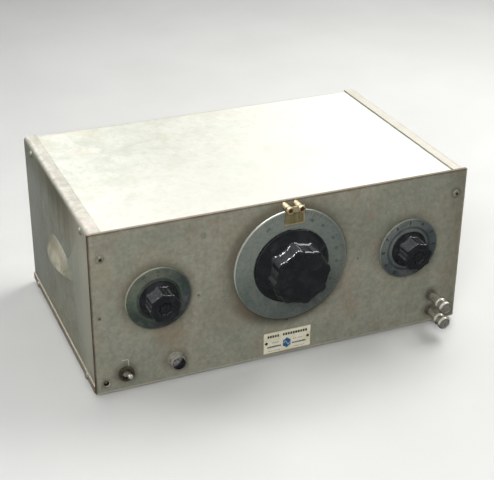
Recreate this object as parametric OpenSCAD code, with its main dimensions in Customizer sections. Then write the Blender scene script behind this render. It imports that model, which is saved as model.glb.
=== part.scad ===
// Bench audio oscillator: sheet-metal cabinet with a flat aluminium panel,
// one large tuning dial, two small dials, a toggle switch, a pilot lamp and
// two binding posts, with its tuning capacitor, valves and supply inside.
// Positions are measured from the cabinet's lower left corner at the panel's
// front face (x right, y to the rear, z up). place() then moves that corner so
// that the origin lies on the bench, under the middle of the whole object.

/* [Cabinet] */
// Width across the two end plates
cab_w = 406.4; // [400:0.2:430]
// Depth from the panel's front face to the rear edge of the end plates
cab_d = 254; // [250:1:280]
// Height of the cabinet without its feet
cab_h = 177.8; // [177:0.2:190]
// Thickness of the front panel
panel_t = 3.2; // [2.4:0.2:4]
// Thickness of the cabinet sheet
sheet = 1.6; // [1.2:0.1:1.8]
// Height of the rubber feet
foot_h = 5; // [4:0.5:12]
// Width of the top flange of each end plate
flange_w = 13.8; // [12:0.2:18]

/* [Hand grips] */
// How far each pressed grip stands out of its end plate
grip_out = 10; // [6:0.5:12]
// Length of the grip along the end plate
grip_len = 97; // [80:1:110]
// Height of the grip's lower lip
grip_z = 92; // [80:1:105]

/* [Main dial] */
// Radius of the tuning dial
dial_r = 61.1; // [56:0.1:61.1]
// Radius of the tuning knob's skirt
skirt_r = 40; // [36:0.5:42]
// Radius across the lobes of the tuning knob
knob_r = 30.8; // [26:0.2:32]
// Number of lobes round each knob
lobes = 8; // [6:1:10]
// Distance of the tuning knob's front face from the panel
knob_out = 40.4; // [34:0.2:46]

/* [Small dials] */
// Radius of the range and level dials
small_r = 33.8; // [30:0.2:36]
// Radius of the small knobs' skirts
small_skirt_r = 20; // [18:0.5:22]
// Radius across the lobes of the small knobs
small_knob_r = 16; // [14:0.2:17]
// Distance of the small knobs' front faces from the panel
small_out = 27; // [22:0.5:30]

/* [Terminals] */
// Distance between the two binding posts
post_pitch = 19.05; // [17:0.05:22]
// Distance of the posts' front faces from the panel
post_out = 33; // [30:0.5:36]

/* [Hidden] */
$fn = 64;

// Colours shared by several pieces
end_grey = [0.50, 0.51, 0.47];
cover_grey = [0.46, 0.46, 0.42];
knob_black = [0.05, 0.05, 0.055];
shaft_grey = [0.7, 0.7, 0.68];
plate_grey = [0.74, 0.74, 0.70];
brass = [0.72, 0.60, 0.34];

// Places on the panel, [x, z]
dial_x = cab_w / 2;
dial_at = [dial_x, 110.4];
small_dx = 138;                 // from the main dial to each small dial
small_z = 99;
range_at = [dial_x - small_dx, small_z];
level_at = [dial_x + small_dx, small_z];
controls_at = [dial_at, range_at, level_at];
toggle_at = [30.5, 18];
pilot_at = [83.3, 22.2];
post_x = cab_w - 30.2;
post_mid_z = 23.9;
post_hi = [post_x, post_mid_z + post_pitch / 2];
post_lo = [post_x, post_mid_z - post_pitch / 2];
posts_at = [post_hi, post_lo];
index_x = dial_x + 1.2;
pillars_at = [for (side = [-1, 1]) [index_x + side * 6.15, 174.3]];
nameplate_x = dial_x + 2.3;
rivets_at = [for (side = [-1, 1]) [nameplate_x + side * 23.6, 16.2]];

// Shafts and holes
gap = 0.05;                     // between neighbouring sheets
step = sheet + gap;
shaft_r = 3.175;
run_r = shaft_r + 0.05;         // bores in which the shafts turn
seat_r = shaft_r + 0.02;        // knob and dial bores, which turn with the shaft
thread_r = 4.76;                // 3/8 inch panel bushings
bush_hole_r = 4.85;
screw_hole_r = 1.8;
pillar_hole_r = 1.6;
rivet_hole_r = 0.95;

// Chassis deck, rear cover and mains cord
deck_z = 45;                    // underside of the deck
deck_top = deck_z + sheet;
rear_face = cab_d + step;       // outer face of the rear cover
cord_r = 3.2;
cord_bend = 9;
cord_at = [330, 30];            // [x, z] of the cord's way through the cover
cord_x = cord_at[0];
cord_y = rear_face + 12.55;     // where the cord drops behind the cabinet
plug_r = 11;
plug_z = plug_r - foot_h + 0.1; // axis of the plug, which lies on the bench
plug_x = cord_x - 102;          // face of the plug that carries the prongs

// Moves the finished object on to the bench, centred on the origin
y_shift = (knob_out - cord_y - plug_r) / 2;
module place() translate([-cab_w / 2, y_shift, foot_h]) children();

// ---- helpers ----
module box(x0, x1, y0, y1, z0, z1)
  translate([x0, y0, z0]) cube([x1 - x0, y1 - y0, z1 - z0]);
// Rods along x, y and z; "at" holds the other two coordinates
module rod_x(at, x0, x1, radius)
  translate([x0, at[0], at[1]]) rotate([0, 90, 0]) cylinder(h = x1 - x0, r = radius);
module rod_y(at, y0, y1, radius)
  translate([at[0], y0, at[1]]) rotate([-90, 0, 0]) cylinder(h = y1 - y0, r = radius);
module rod_z(at, z0, z1, radius)
  translate([at[0], at[1], z0]) cylinder(h = z1 - z0, r = radius);
// Shape turned about a panel normal; profile columns: radius, distance before the panel
module turned_y(at, facets = 128)
  translate([at[0], 0, at[1]]) rotate([90, 0, 0]) rotate_extrude($fn = facets) children();
// Shape turned about a vertical; profile columns: radius, height
module turned_z(at, z) translate([at[0], at[1], z]) rotate_extrude($fn = 64) children();
// Moves children to a panel place and turns them about its normal
module about(at, angle = 0) translate([at[0], 0, at[1]]) rotate([0, angle, 0]) children();
// Points of an arc between two angles
function arc(centre, radius, from, to, steps = 6) = [for (i = [0:steps])
  let (a = from + (to - from) * i / steps) centre + radius * [cos(a), sin(a)]];

module hexnut(at, y0, y1, across, bore) difference() {
  translate([at[0], y0, at[1]]) rotate([-90, 0, 0])
    cylinder(h = y1 - y0, r = across / sqrt(3), $fn = 6);
  rod_y(at, y0 - 1, y1 + 1, bore);
}

// Rotations that point a screw head out of each side
to_front = [90, 0, 0];
to_rear = [-90, 0, 0];
to_left = [0, -90, 0];
to_right = [0, 90, 0];
to_below = [180, 0, 0];
// Slotted round-head screw seated at "at"; turn sets the slot's angle
module screw(facing, at, length, turn = 0, head_h = 2.3) translate(at) rotate(facing) {
  head_r = 4.1;
  dome_r = (head_r * head_r + head_h * head_h) / (2 * head_h);
  slot_w = 0.9;
  slot_depth = 1.1;
  difference() {
    intersection() {
      translate([0, 0, head_h - dome_r]) sphere(r = dome_r, $fn = 64);
      translate([0, 0, 5]) cube([12, 12, 10], center = true);
    }
    rotate([0, 0, turn]) translate([-6, -slot_w / 2, head_h - slot_depth]) cube([12, slot_w, 3]);
  }
  translate([0, 0, -length]) cylinder(h = length + 0.01, r = 1.7);
}

// ---- cabinet ----
panel_screw_x = 10;
panel_screw_z = [11, 151];
// Panel screws: [x, z, slot angle]; the lower left hole is wider and has no screw
panel_screw_table = [
  [panel_screw_x, panel_screw_z[1], 35],
  [cab_w - panel_screw_x, panel_screw_z[1], 100],
  [cab_w - panel_screw_x, panel_screw_z[0], 160]];
empty_hole_at = [panel_screw_x, panel_screw_z[0]];
rear_screw_x = 7;
rear_screw_z = [20, 150];
rear_screws_at = [for (x = [rear_screw_x, cab_w - rear_screw_x], z = rear_screw_z) [x, z]];
side_screw_y = [26, 220];       // upper screws, into the top cover
side_screw_z = cab_h - 7.3;
lip_screw_y = [30, 230];        // lower screws, through the tray's lips
lip_screw_z = 4.5;
lip_h = 8;                      // height of the tray's outer lips
foot_inset = 34;
feet_at = [for (y = [foot_inset, cab_d - foot_inset], x = [foot_inset, cab_w - foot_inset]) [x, y]];
foot_recess = 2.6;              // depth of the screw recess under each foot

module front_panel() color([0.50, 0.50, 0.44]) place() difference() {
  box(-1, cab_w + 1, 0, panel_t, 0, cab_h);
  for (at = panel_screw_table) rod_y(at, -1, panel_t + 1, screw_hole_r);
  rod_y(empty_hole_at, -1, panel_t + 1, 2.7);
  for (at = controls_at) rod_y(at, -1, panel_t + 1, bush_hole_r);
  rod_y(toggle_at, -1, panel_t + 1, 6.05);
  rod_y(pilot_at, -1, panel_t + 1, 6.6);
  for (at = posts_at) rod_y(at, -1, panel_t + 1, 4.1);
  for (at = pillars_at) rod_y(at, -1, panel_t + 1, pillar_hole_r);
  for (at = rivets_at) rod_y(at, -1, panel_t + 1, rivet_hole_r);
}

// Outline of an end plate with its rolled top edge, [x, z]
bend_r = 5;                     // outer radius of the rolled top edges
bend_at = [bend_r, cab_h - bend_r];
end_profile = concat(
  [[0, step]], arc(bend_at, bend_r, 180, 90),
  [[flange_w, cab_h], [flange_w, cab_h - sheet]],
  arc(bend_at, bend_r - sheet, 90, 180), [[sheet, step]]);

// The grip is turned about an upright axis inside the cabinet, so placed that
// its lower lip meets the plate's outer face over the grip's length
grip_y = cab_d * 0.4665;
grip_top = grip_z + 24;
grip_sink = 1.6;                // depth of the outline's top inside the outer face
grip_axis = (grip_len * grip_len / 4 - grip_out * grip_out) / (2 * grip_out);
// Outer line from the lower lip to the top: [radius, z]
grip_line = [for (i = [0:8]) let (t = i / 8)
  [grip_axis + (grip_out + grip_sink) * (1 - pow(t, 1.7)) - grip_sink,
    grip_z + t * (grip_top - grip_z)]];
module turned_grip(points) translate([grip_axis, grip_y, 0]) rotate_extrude($fn = 256)
  polygon(points);
module grip_outer() turned_grip(concat(
  [[grip_axis - 12, grip_z]], grip_line, [[grip_axis - 12, grip_top]]));
module grip_inner() turned_grip(concat(
  [[grip_axis - 14, grip_z - 2], [grip_axis + grip_out - sheet, grip_z - 2]],
  [for (point = grip_line) point - [sheet, 0.8]],
  [[grip_axis - 14, grip_top - 0.8]]));
module grip_zone(x1, z0)
  box(-grip_out - 3, x1, grip_y - grip_len, grip_y + grip_len, z0, grip_top + 1);

// Left end plate with its front and rear tabs
module end_plate() difference() {
  union() {
    translate([0, cab_d, 0]) rotate([90, 0, 0])
      linear_extrude(cab_d - panel_t - gap) polygon(end_profile);
    box(sheet - 0.2, 16, panel_t + gap, panel_t + step, 4, 162);
    box(sheet - 0.2, 14, cab_d - sheet, cab_d, 4, 172);
    intersection() {
      grip_outer();
      grip_zone(sheet * 0.5, grip_z - 1);
    }
  }
  intersection() {
    grip_inner();
    grip_zone(sheet + 1, grip_z);
  }
  for (y = side_screw_y) rod_x([y, side_screw_z], -1, 5, screw_hole_r);
  for (y = lip_screw_y) rod_x([y, lip_screw_z], -1, 5, screw_hole_r);
  for (z = panel_screw_z) rod_y([panel_screw_x, z], panel_t, panel_t + 5, screw_hole_r);
  for (z = rear_screw_z) rod_y([rear_screw_x, z], cab_d - 5, cab_d + 1, screw_hole_r);
}
module end_plate_left() color(end_grey) place() end_plate();
module end_plate_right() color(end_grey) place()
  translate([cab_w, 0, 0]) mirror([1, 0, 0]) end_plate();

// Section inside a cover surface of edge radius "radius", its sides down to z, [x, z]
cover_r = bend_r - step;
cover_rear = cab_d - 1.7;
function mirrored(points) =
  [for (i = [len(points) - 1:-1:0]) [cab_w - points[i][0], points[i][1]]];
function cover_section(radius, z) =
  let (left = concat([[bend_r - radius, z]], arc(bend_at, radius, 180, 90)))
  concat(left, mirrored(left));
module top_cover() color([0.72, 0.72, 0.66]) place() difference() {
  union() {
    translate([0, cover_rear, 0]) rotate([90, 0, 0])
      linear_extrude(cover_rear - panel_t - gap) difference() {
        polygon(cover_section(cover_r, cab_h - 16));
        polygon(cover_section(cover_r - sheet, cab_h - 18));
      }
    // rear flange, turned down from the top
    box(16, cab_w - 16, cover_rear - sheet, cover_rear, cab_h - 14, cab_h - step - 0.4);
  }
  for (y = side_screw_y) rod_x([y, side_screw_z], -1, cab_w + 1, screw_hole_r);
  // cut-outs at the sides' front and rear ends, clear of the end plates' tabs
  box(-1, cab_w + 1, 0, 12, cab_h - 17, cab_h - bend_r);
  for (x = [-1, cab_w - 15]) box(x, x + 16, cab_d - 8, cab_d, cab_h - 17, cab_h - bend_r);
}

// The rear cover has two groups of twelve slots in two rows
vent_x = [70, 250];
vent_z = [70, 116];
vent_pitch = 8;
module rear_cover() color(cover_grey) place() difference() {
  box(0.5, cab_w - 0.5, cab_d + gap, rear_face, 2, cab_h - 6);
  for (at = rear_screws_at) rod_y(at, cab_d - 1, rear_face + 1, screw_hole_r);
  for (x = vent_x, i = [0:11], z = vent_z)
    box(x + i * vent_pitch, x + i * vent_pitch + 3, cab_d - 1, rear_face + 1, z, z + 36);
  rod_y(cord_at, cab_d - 1, rear_face + 1, 5);
}

module bottom_tray() color(cover_grey) place() difference() {
  union() {
    box(-step, cab_w + step, panel_t + gap, cab_d, 0, sheet);
    for (x = [-step, cab_w + gap]) box(x, x + sheet, panel_t + gap, cab_d, sheet - 0.2, lip_h);
  }
  for (y = lip_screw_y, x = [-5, cab_w - 5]) rod_x([y, lip_screw_z], x, x + 10, screw_hole_r);
  for (at = feet_at) rod_z(at, -1, sheet + 1, screw_hole_r);
}

module feet() color([0.09, 0.09, 0.09]) place() for (at = feet_at) difference() {
  translate([at[0], at[1], -foot_h]) cylinder(h = foot_h, r1 = 8.5, r2 = 10);
  rod_z(at, -foot_h - 1, -foot_h + foot_recess, 4.6);
  rod_z(at, -foot_h, 1, screw_hole_r);
}

module panel_screws() color([0.55, 0.53, 0.46]) place() for (entry = panel_screw_table)
  screw(to_front, [entry[0], 0, entry[1]], 9, entry[2]);

module cabinet_screws() color([0.52, 0.50, 0.45]) place() {
  for (i = [0, 1]) {
    screw(to_left, [0, side_screw_y[i], side_screw_z], 7, 20 + 55 * i);
    screw(to_left, [-step, lip_screw_y[i], lip_screw_z], 7, 70 * i);
    screw(to_right, [cab_w, side_screw_y[i], side_screw_z], 7, 40 * i);
    screw(to_right, [cab_w + step, lip_screw_y[i], lip_screw_z], 7, 15 + 80 * i);
  }
  for (at = rear_screws_at) screw(to_rear, [at[0], rear_face, at[1]], 7, at[1]);
  for (at = feet_at)
    screw(to_below, [at[0], at[1], -foot_h + foot_recess], 6, at[0], head_h = 2);
}

// ---- knobs and dials ----
// Distances in front of the panel
dial_face = 10.6;
plate_face = 12;
small_face = 5;
shaft_end = 34;
small_shaft_end = 22;

// Outline of a fluted grip: round lobes joined by wide hollows tangent to them
function fluted(radius) = let (
    half = 180 / lobes,
    lobe_r = radius * 0.2,
    lobe_at = radius - lobe_r,
    valley = radius * 0.885,    // radius at the bottom of the hollows
    hollow_r = (lobe_at * lobe_at + valley * valley - 2 * lobe_at * valley * cos(half)
      - lobe_r * lobe_r) / (2 * (lobe_r - valley + lobe_at * cos(half))),
    hollow_at = (valley + hollow_r) * [cos(half), sin(half)],
    join = atan2(hollow_at[1], hollow_at[0] - lobe_at),
    lobe = arc([lobe_at, 0], lobe_r, -join, join, 6),
    hollow = [for (k = [1:3]) let (a = 180 + join - 2 * (join - half) * k / 4)
      hollow_at + hollow_r * [cos(a), sin(a)]])
  [for (i = [0:lobes - 1], point = concat(lobe, hollow)) let (turn = 10 + 360 * i / lobes)
    [point[0] * cos(turn) - point[1] * sin(turn), point[0] * sin(turn) + point[1] * cos(turn)]];

// Knob with a flared skirt. Distances before the panel: back is the skirt's rear
// face, shoulder its edge, neck the start of the lobed grip, front the front face
module knob(at, skirt, grip, back, shoulder, neck, front, bore_end) difference() {
  neck_r = grip * 0.95;
  union() {
    turned_y(at) polygon(concat(
      [[0, back], [skirt - 0.5, back], [skirt, back + 0.4], [skirt, shoulder - 0.5]],
      [for (i = [0:9]) let (t = i / 9)
        [neck_r + (skirt - 0.6 - neck_r) * pow(1 - t, 1.3), shoulder + (neck - shoulder) * t]],
      [[neck_r, neck + 1], [0, neck + 1]]));
    intersection() {
      translate([at[0], -neck, at[1]]) rotate([90, 0, 0])
        linear_extrude(front - neck) polygon(fluted(grip));
      turned_y(at) polygon(concat(
        [[0, neck - 1], [grip + 1, neck - 1], [grip + 1, neck + grip * 0.04],
          [grip + 0.2, front - grip * 0.1]],
        arc([grip + 0.1 - grip * 0.07, front - grip * 0.07], grip * 0.07, 8, 88, 4),
        [[0, front]]));
    }
  }
  rod_y(at, -bore_end - 0.2, 1 - back, seat_r);
}

module main_dial() color([0.44, 0.47, 0.44]) place() turned_y(dial_at, 192)
  polygon([[seat_r, 3.4], [15.5, 3.4], [16, 3.9], [16, 8], [dial_r - 0.4, 8], [dial_r, 8.4],
    [dial_r, 10.1], [dial_r - 0.8, dial_face], [seat_r, dial_face]]);
module dial_plate() color([0.78, 0.78, 0.74]) place() turned_y(dial_at, 160)
  polygon([[seat_r, dial_face], [skirt_r + 0.7, dial_face], [skirt_r + 0.7, 11.6],
    [skirt_r + 0.4, plate_face], [seat_r, plate_face]]);
module tuning_knob() color(knob_black) place() knob(dial_at, skirt_r, knob_r,
  back = plate_face, shoulder = 14.2, neck = 25.5, front = knob_out, bore_end = shaft_end);
module tuning_shaft() color(shaft_grey) place() rod_y(dial_at, -shaft_end, 31.5, shaft_r);

module small_dial(at) place() turned_y(at, 160)
  polygon([[seat_r, 3], [small_r - 0.3, 3], [small_r, 3.3], [small_r, 4.6],
    [small_r - 0.5, small_face], [seat_r, small_face]]);
module small_knob(at) color(knob_black) place() knob(at, small_skirt_r, small_knob_r,
  back = small_face, shoulder = 6.6, neck = 12.5, front = small_out,
  bore_end = small_shaft_end);
module range_dial() color([0.36, 0.38, 0.34]) small_dial(range_at);
module level_dial() color([0.50, 0.51, 0.48]) small_dial(level_at);
module range_knob() small_knob(range_at);
module level_knob() small_knob(level_at);

// ---- index over the main dial ----
// Distances in front of the panel
pillar_out = 12.6;
index_plate_out = 13.8;
bracket_out = 14.6;
index_seat = 14.9;              // seat of the index screws' heads
index_top = 177;

module index_pillars() color(brass) place() for (at = pillars_at) turned_y(at, 64)
  polygon([[1.55, 0], [2.5, 0], [2.5, 2.4], [2.9, 2.9], [2.9, 11.4], [3.3, 11.7],
    [3.3, pillar_out], [1.55, pillar_out]]);
module index_plate() color([0.62, 0.48, 0.20, 0.6]) place() difference() {
  box(index_x - 10.3, index_x + 10.3, -index_plate_out, -pillar_out, 157.6, index_top);
  for (at = pillars_at) rod_y(at, -14, -12, pillar_hole_r);
}
module index_bracket() color([0.80, 0.70, 0.45]) place() difference() {
  union() {
    box(index_x - 9, index_x + 9, -bracket_out, -index_plate_out, 171, index_top);
    for (at = pillars_at) rod_y(at, -17.6, -14, 3.5);
  }
  for (at = pillars_at) {
    rod_y(at, -18, -13, pillar_hole_r);
    rod_y(at, -18, -index_seat, 2.5);
  }
}
module index_screws() color([0.20, 0.17, 0.13]) place() for (i = [0, 1]) difference() {
  head_out = 16.2;
  union() {
    rod_y(pillars_at[i], -head_out, -index_seat, 2.45);
    rod_y(pillars_at[i], -15, panel_t - 0.2, 1.5);
  }
  about(pillars_at[i], 10 + 60 * i)
    translate([0, -head_out, 0]) cube([6, 1.4, 0.7], center = true);
}

// ---- tuning drive ----
module tuning_bushing() color(brass) place() turned_y(dial_at, 64)
  polygon([[run_r, 2.6], [thread_r, 2.6], [thread_r, -panel_t], [7, -panel_t],
    [7, -panel_t - 2], [thread_r, -panel_t - 2], [thread_r, -14], [run_r, -14]]);

stud_bore_r = 2.05;             // bore of the nuts and bases on the posts' studs
inner_washer_t = 1.4;           // washers on the studs behind the panel
module panel_nuts() color([0.70, 0.70, 0.66]) place() {
  for (at = controls_at) hexnut(at, -2.3, 0, 14.3, thread_r + 0.04);
  for (at = posts_at)
    hexnut(at, panel_t + inner_washer_t, panel_t + 4.2, 7.9, stud_bore_r);
}

pin_at = 11.5;                  // distance of the coupling pins from the shaft's axis
// The coupling's halves: [hub y0, hub y1, angle, pin y0, pin y1, arm y0, arm y1]
coupling_halves = [
  [21, 31, 0, 29, 33.5, 29, 30.9],
  [35, 46, 90, 33.1, 37.5, 35.1, 37]];
module shaft_coupling() color([0.75, 0.63, 0.36]) place() for (half = coupling_halves) {
  difference() {
    rod_y(dial_at, half[0], half[1], 8);
    rod_y(dial_at, half[0] - 1, half[1] + 1, seat_r);
  }
  for (turn = [0, 180]) about(dial_at, half[2] + turn) {
    rod_y([pin_at, 0], half[3], half[4], 1.8);
    box(6, 13.3, half[5], half[6], -1.7, 1.7);
  }
}
module coupling_disc() color([0.35, 0.20, 0.10]) place() difference() {
  rod_y(dial_at, 32, 34, 15.5);
  rod_y(dial_at, 31, 35, 3.6);
  for (a = [0:90:270]) about(dial_at, a) rod_y([pin_at, 0], 31, 35, 1.85);
}

// ---- tuning capacitor ----
cap_front = 58;                 // front of the front end plate
cap_rear = 160;                 // front of the rear end plate
cap_left = 168;
cap_right = 238;
cap_base = 72;
cap_top = 146;
cap_side = cap_left + 1.6;      // inner face of the left side
cap_plate_t = 2;                // base and end plates
stator_left = 172.8;            // left face of the stator blocks
gang_start = 64;
gang_pitch = 24;
vane_pitch = 4;
vane_t = 0.8;
stator_y = [gang_start, gang_start + 2 * gang_pitch]; // each stator spans two gangs

module capacitor_frame() color([0.66, 0.66, 0.62]) place() difference() {
  union() {
    box(cap_left, cap_right, cap_front, cap_rear + cap_plate_t, cap_base, cap_base + cap_plate_t);
    for (y = [cap_front, cap_rear])
      box(cap_left, cap_right, y, y + cap_plate_t, cap_base + 1, cap_top);
    box(cap_left, cap_side, cap_front + 1, cap_rear + 1, cap_base + 1, cap_top);
  }
  for (y = [cap_front, cap_rear]) rod_y(dial_at, y - 1, y + 3, run_r);
}
// Left half of a ring about the capacitor's axis
module stator_vane(inner, outer, y) intersection() {
  difference() {
    rod_y(dial_at, y, y + vane_t, outer);
    rod_y(dial_at, y - 1, y + vane_t + 1, inner);
  }
  box(dial_x - outer - 1, dial_x - 2, y - 1, y + vane_t + 1,
    dial_at[1] - outer - 1, dial_at[1] + outer + 1);
}
module capacitor_stators() color(plate_grey) place() for (y = stator_y) union() {
  y0 = y - 0.5;
  y1 = y + gang_pitch + 17.5;
  for (k = [0, 1], i = [0:4]) stator_vane(8, 28, y + k * gang_pitch + i * vane_pitch);
  for (side = [-1, 1]) rod_y(dial_at + [-23.6, side * 12.6], y0, y1, 1.2);
  box(stator_left, 176.4, y0, y1, dial_at[1] - 6, dial_at[1] + 6);
}
module capacitor_rotor() color(plate_grey) place() union() {
  rod_y(dial_at, 35, cap_rear + 5, shaft_r);
  for (k = [0:3], i = [0:3]) {
    y = gang_start + k * gang_pitch;
    vane_y = y + 2 + i * vane_pitch;
    intersection() {
      rod_y(dial_at, vane_y, vane_y + vane_t, 24);
      about(dial_at, 60) box(-30, 30, y, y + 20, -3.4, 30);
    }
  }
}
module capacitor_insulators() color([0.86, 0.84, 0.78]) place() {
  for (y = stator_y, dy = [4, 30]) rod_x([y + dy, dial_at[1]], cap_side, stator_left, 4);
  for (x = [176, 230], y = [66, 152]) rod_z([x, y], deck_top, cap_base, 5);
}

// ---- range switch and level control ----
wafer_y = [24, 40];
ties_at = [for (side = [-1, 1]) range_at + [side * 14.5, 0]];

// Threaded bushing through the panel with its flange behind
module control_bushing(at) {
  rod_y(at, -2.6, 10, thread_r);
  rod_y(at, panel_t, 5.4, 7);
}
module range_shaft() color(shaft_grey) place() union() {
  rod_y(range_at, -small_shaft_end, 45, shaft_r);
  for (y = wafer_y) rod_y(range_at, y - 0.6, y + 2.2, 5.8);
  for (y = wafer_y) about(range_at, 30) box(0, 11, y + 1.75, y + 2.15, -2, 2);
  // notched wheel
  difference() {
    rod_y(range_at, 11.2, 12.8, 9);
    for (a = [0:30:330]) about(range_at, a) rod_y([9.4, 0], 10, 14, 1.5);
  }
}
module range_switch_frame() color([0.68, 0.66, 0.58]) place() difference() {
  union() {
    control_bushing(range_at);
    rod_y(range_at, 9, 10.6, 18);
    for (at = ties_at) rod_y(at, 9, 46, 1.4);
    for (at = ties_at, y = wafer_y) rod_y(at, y - 3, y - gap, 2.6);
  }
  rod_y(range_at, -3, 12, run_r);
}
module range_wafers() color([0.40, 0.24, 0.12]) place() for (y = wafer_y) difference() {
  rod_y(range_at, y, y + 1.6, 18);
  rod_y(range_at, y - 1, y + 3, 5.9);
  for (at = ties_at) rod_y(at, y - 1, y + 3, 1.45);
}
module level_shaft() color(shaft_grey) place() union() {
  rod_y(level_at, -small_shaft_end, 19, shaft_r);
  // disc inside the case, cut flat below
  difference() {
    rod_y(level_at, 14, 15.4, 11);
    about(level_at) box(-12, 12, 13, 17, -12, -2.5);
  }
}
module level_pot() color([0.16, 0.14, 0.12]) place() difference() {
  union() {
    control_bushing(level_at);
    rod_y(level_at, 9, 22, 14.5);
    for (x = [-7, 0, 7]) about(level_at) box(x - 1.6, x + 1.6, 9.4, 10.2, -21, -13);
  }
  rod_y(level_at, -3, 12, run_r);
  rod_y(level_at, 11, 21, 13.4);
}

// ---- toggle switch ----
toggle_y = 1;                   // depth of the lever's pivot behind the panel face
toggle_tilt = 20;               // lever's upward tilt from straight out
module toggle_body() color([0.13, 0.10, 0.09]) place() difference() {
  union() {
    rod_y(toggle_at, -3.8, 7, 5.95);
    about(toggle_at) box(-8, 8, 6, 26, -13, 13);
  }
  rod_y(toggle_at, -9, 14, 4.7);
  about(toggle_at) rod_x([toggle_y, 0], -5.3, 5.3, 0.85);
}
module toggle_nut() color([0.20, 0.19, 0.17]) place() turned_y(toggle_at, 64)
  polygon([[6, 0], [8.2, 0], [8.2, 1.9], [7.6, 2.6], [6, 2.6]]);
// Lever with a ball at the pivot, a rounded tip and a cross pin
module toggle_lever() color([0.80, 0.80, 0.77]) place()
  translate([toggle_at[0], toggle_y, toggle_at[1]]) union() {
    rotate([90 - toggle_tilt, 0, 0]) rotate_extrude($fn = 64)
      polygon(concat(arc([0, 0], 4.1, -90, 58, 10), [[1.9, 4.2], [1.9, 7.4], [2.6, 18.3]],
        arc([0, 18.3], 2.6, 12, 90, 6)));
    rod_x([0, 0], -5.2, 5.2, 0.8);
  }

// ---- pilot lamp ----
module pilot_bezel() color([0.62, 0.62, 0.58]) place() turned_y(pilot_at, 96)
  polygon([[6.7, 0], [8.9, 0], [8.9, 1.2], [8.5, 1.8], [7.7, 7.6], [7.2, 8.6], [6.7, 8.6]]);
module pilot_jewel() color([0.05, 0.06, 0.10]) place() turned_y(pilot_at, 96)
  polygon(concat([[4.6, 0.6], [6.6, 0.6], [6.6, 10.2]], arc([0, 4.9], 8.5, 39.5, 86, 7),
    [[0, 13.4], [0, 10], [3, 9.4], [4.6, 7.5]]));
module pilot_bulb() color([0.8, 0.8, 0.75, 0.5]) place() turned_y(pilot_at, 48)
  polygon(concat([[0, -15], [3.6, -15], [3.6, -5], [4.3, -2], [4.3, 2.5]],
    arc([0, 2.5], 4.2, 12, 86, 5), [[0, 6.7]]));
module pilot_socket() color([0.66, 0.60, 0.45]) place() difference() {
  union() {
    rod_y(pilot_at, panel_t, 24, 6.4);
    about(pilot_at) box(-6, 16, panel_t, panel_t + 1.2, -6, 6);
  }
  rod_y(pilot_at, panel_t - 1, 22.5, 5.4);
}

// ---- binding posts ----
base_out = 2.4;                 // front face of the bases
cap_bore_r = 2.06;              // bore of the outer washers and caps
module post_studs() color([0.66, 0.65, 0.60]) place() for (at = posts_at)
  rod_y(at, -28, 16, 2);
// A stepped base in the panel hole and a washer behind the panel
module post_bases() color([0.60, 0.60, 0.56]) place() for (at = posts_at) union() {
  turned_y(at, 64) polygon([[stud_bore_r, base_out], [5.4, base_out], [6, 1.9], [6, 0], [4, 0],
    [4, -panel_t + 0.2], [stud_bore_r, -panel_t + 0.2]]);
  difference() {
    rod_y(at, panel_t, panel_t + inner_washer_t, 5.6);
    rod_y(at, panel_t - 1, panel_t + 2, stud_bore_r);
  }
}
module post_washer(at) color([0.70, 0.69, 0.64]) place() difference() {
  rod_y(at, -3.15, -base_out, 4.6);
  rod_y(at, -4, -2, cap_bore_r);
}
// Waisted cap with a knurled head
module post_cap(at) color([0.64, 0.64, 0.60]) place() difference() {
  turned_y(at, 64) polygon([[0, 3.2], [3.5, 3.2], [3.9, 3.6], [4, 9], [4.7, 16], [5.1, 19.2],
    [6.2, 20.4], [6.6, 21.4], [6.6, 23.2], [6.2, 24], [6.2, post_out - 3.4],
    [6.8, post_out - 2.8], [6.8, post_out - 1.2], [6.3, post_out - 0.3], [5.8, post_out],
    [5.3, post_out - 0.6], [0, post_out - 0.6]]);
  rod_y(at, -29, -3, cap_bore_r);
  for (i = [0:23]) about(at, i * 15) translate([6.48, -post_out + 3.6, 0]) rotate([0, 45, 0])
    translate([-0.4, 0, -0.4]) cube([0.8, post_out - 27.8, 0.8]);
}
module post_washer_upper() post_washer(post_hi);
module post_washer_lower() post_washer(post_lo);
module post_cap_upper() post_cap(post_hi);
module post_cap_lower() post_cap(post_lo);

// ---- nameplate ----
nameplate_t = 0.8;
module nameplate() color([0.80, 0.78, 0.68]) place() difference() {
  box(nameplate_x - 27, nameplate_x + 27, -nameplate_t, 0, 3.5, 28.9);
  for (at = rivets_at) rod_y(at, -2, 1, rivet_hole_r);
}
module nameplate_rivets() color([0.30, 0.27, 0.22]) place() for (at = rivets_at)
  translate([at[0], -nameplate_t, at[1]]) rotate([90, 0, 0]) union() {
    intersection() {
      translate([0, 0, -1.1]) sphere(r = 2, $fn = 48);
      translate([0, 0, 2]) cube(4, center = true);
    }
    translate([0, 0, -panel_t]) cylinder(h = panel_t + 0.1, r = 0.9);
  }

// ---- chassis and circuit ----
// Valves: [x, y, bulb radius]
tubes = [[275, 84, 15], [275, 132, 15], [330, 84, 15], [112, 104, 18]];
stabiliser_at = [336, 150];
chassis_front = 42;
chassis_rear = cab_d - 10;
board_z = 24;
board_top = board_z + 2;

// Deck with a front and a rear apron, and four pillars down to the board
module chassis() color([0.68, 0.69, 0.66]) place() difference() {
  union() {
    box(step, cab_w - step, chassis_front, chassis_rear, deck_z, deck_top);
    for (y = [chassis_front, chassis_rear - sheet])
      box(step, cab_w - step, y, y + sheet, 6, deck_z + 0.2);
    for (x = [128, 282], y = [98, 192]) rod_z([x, y], board_top, deck_z + 0.2, 3);
  }
  for (tube = tubes) rod_z(tube, deck_z - 1, deck_z + 3, 11);
  rod_z(stabiliser_at, deck_z - 1, deck_z + 3, 6);
}
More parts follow.
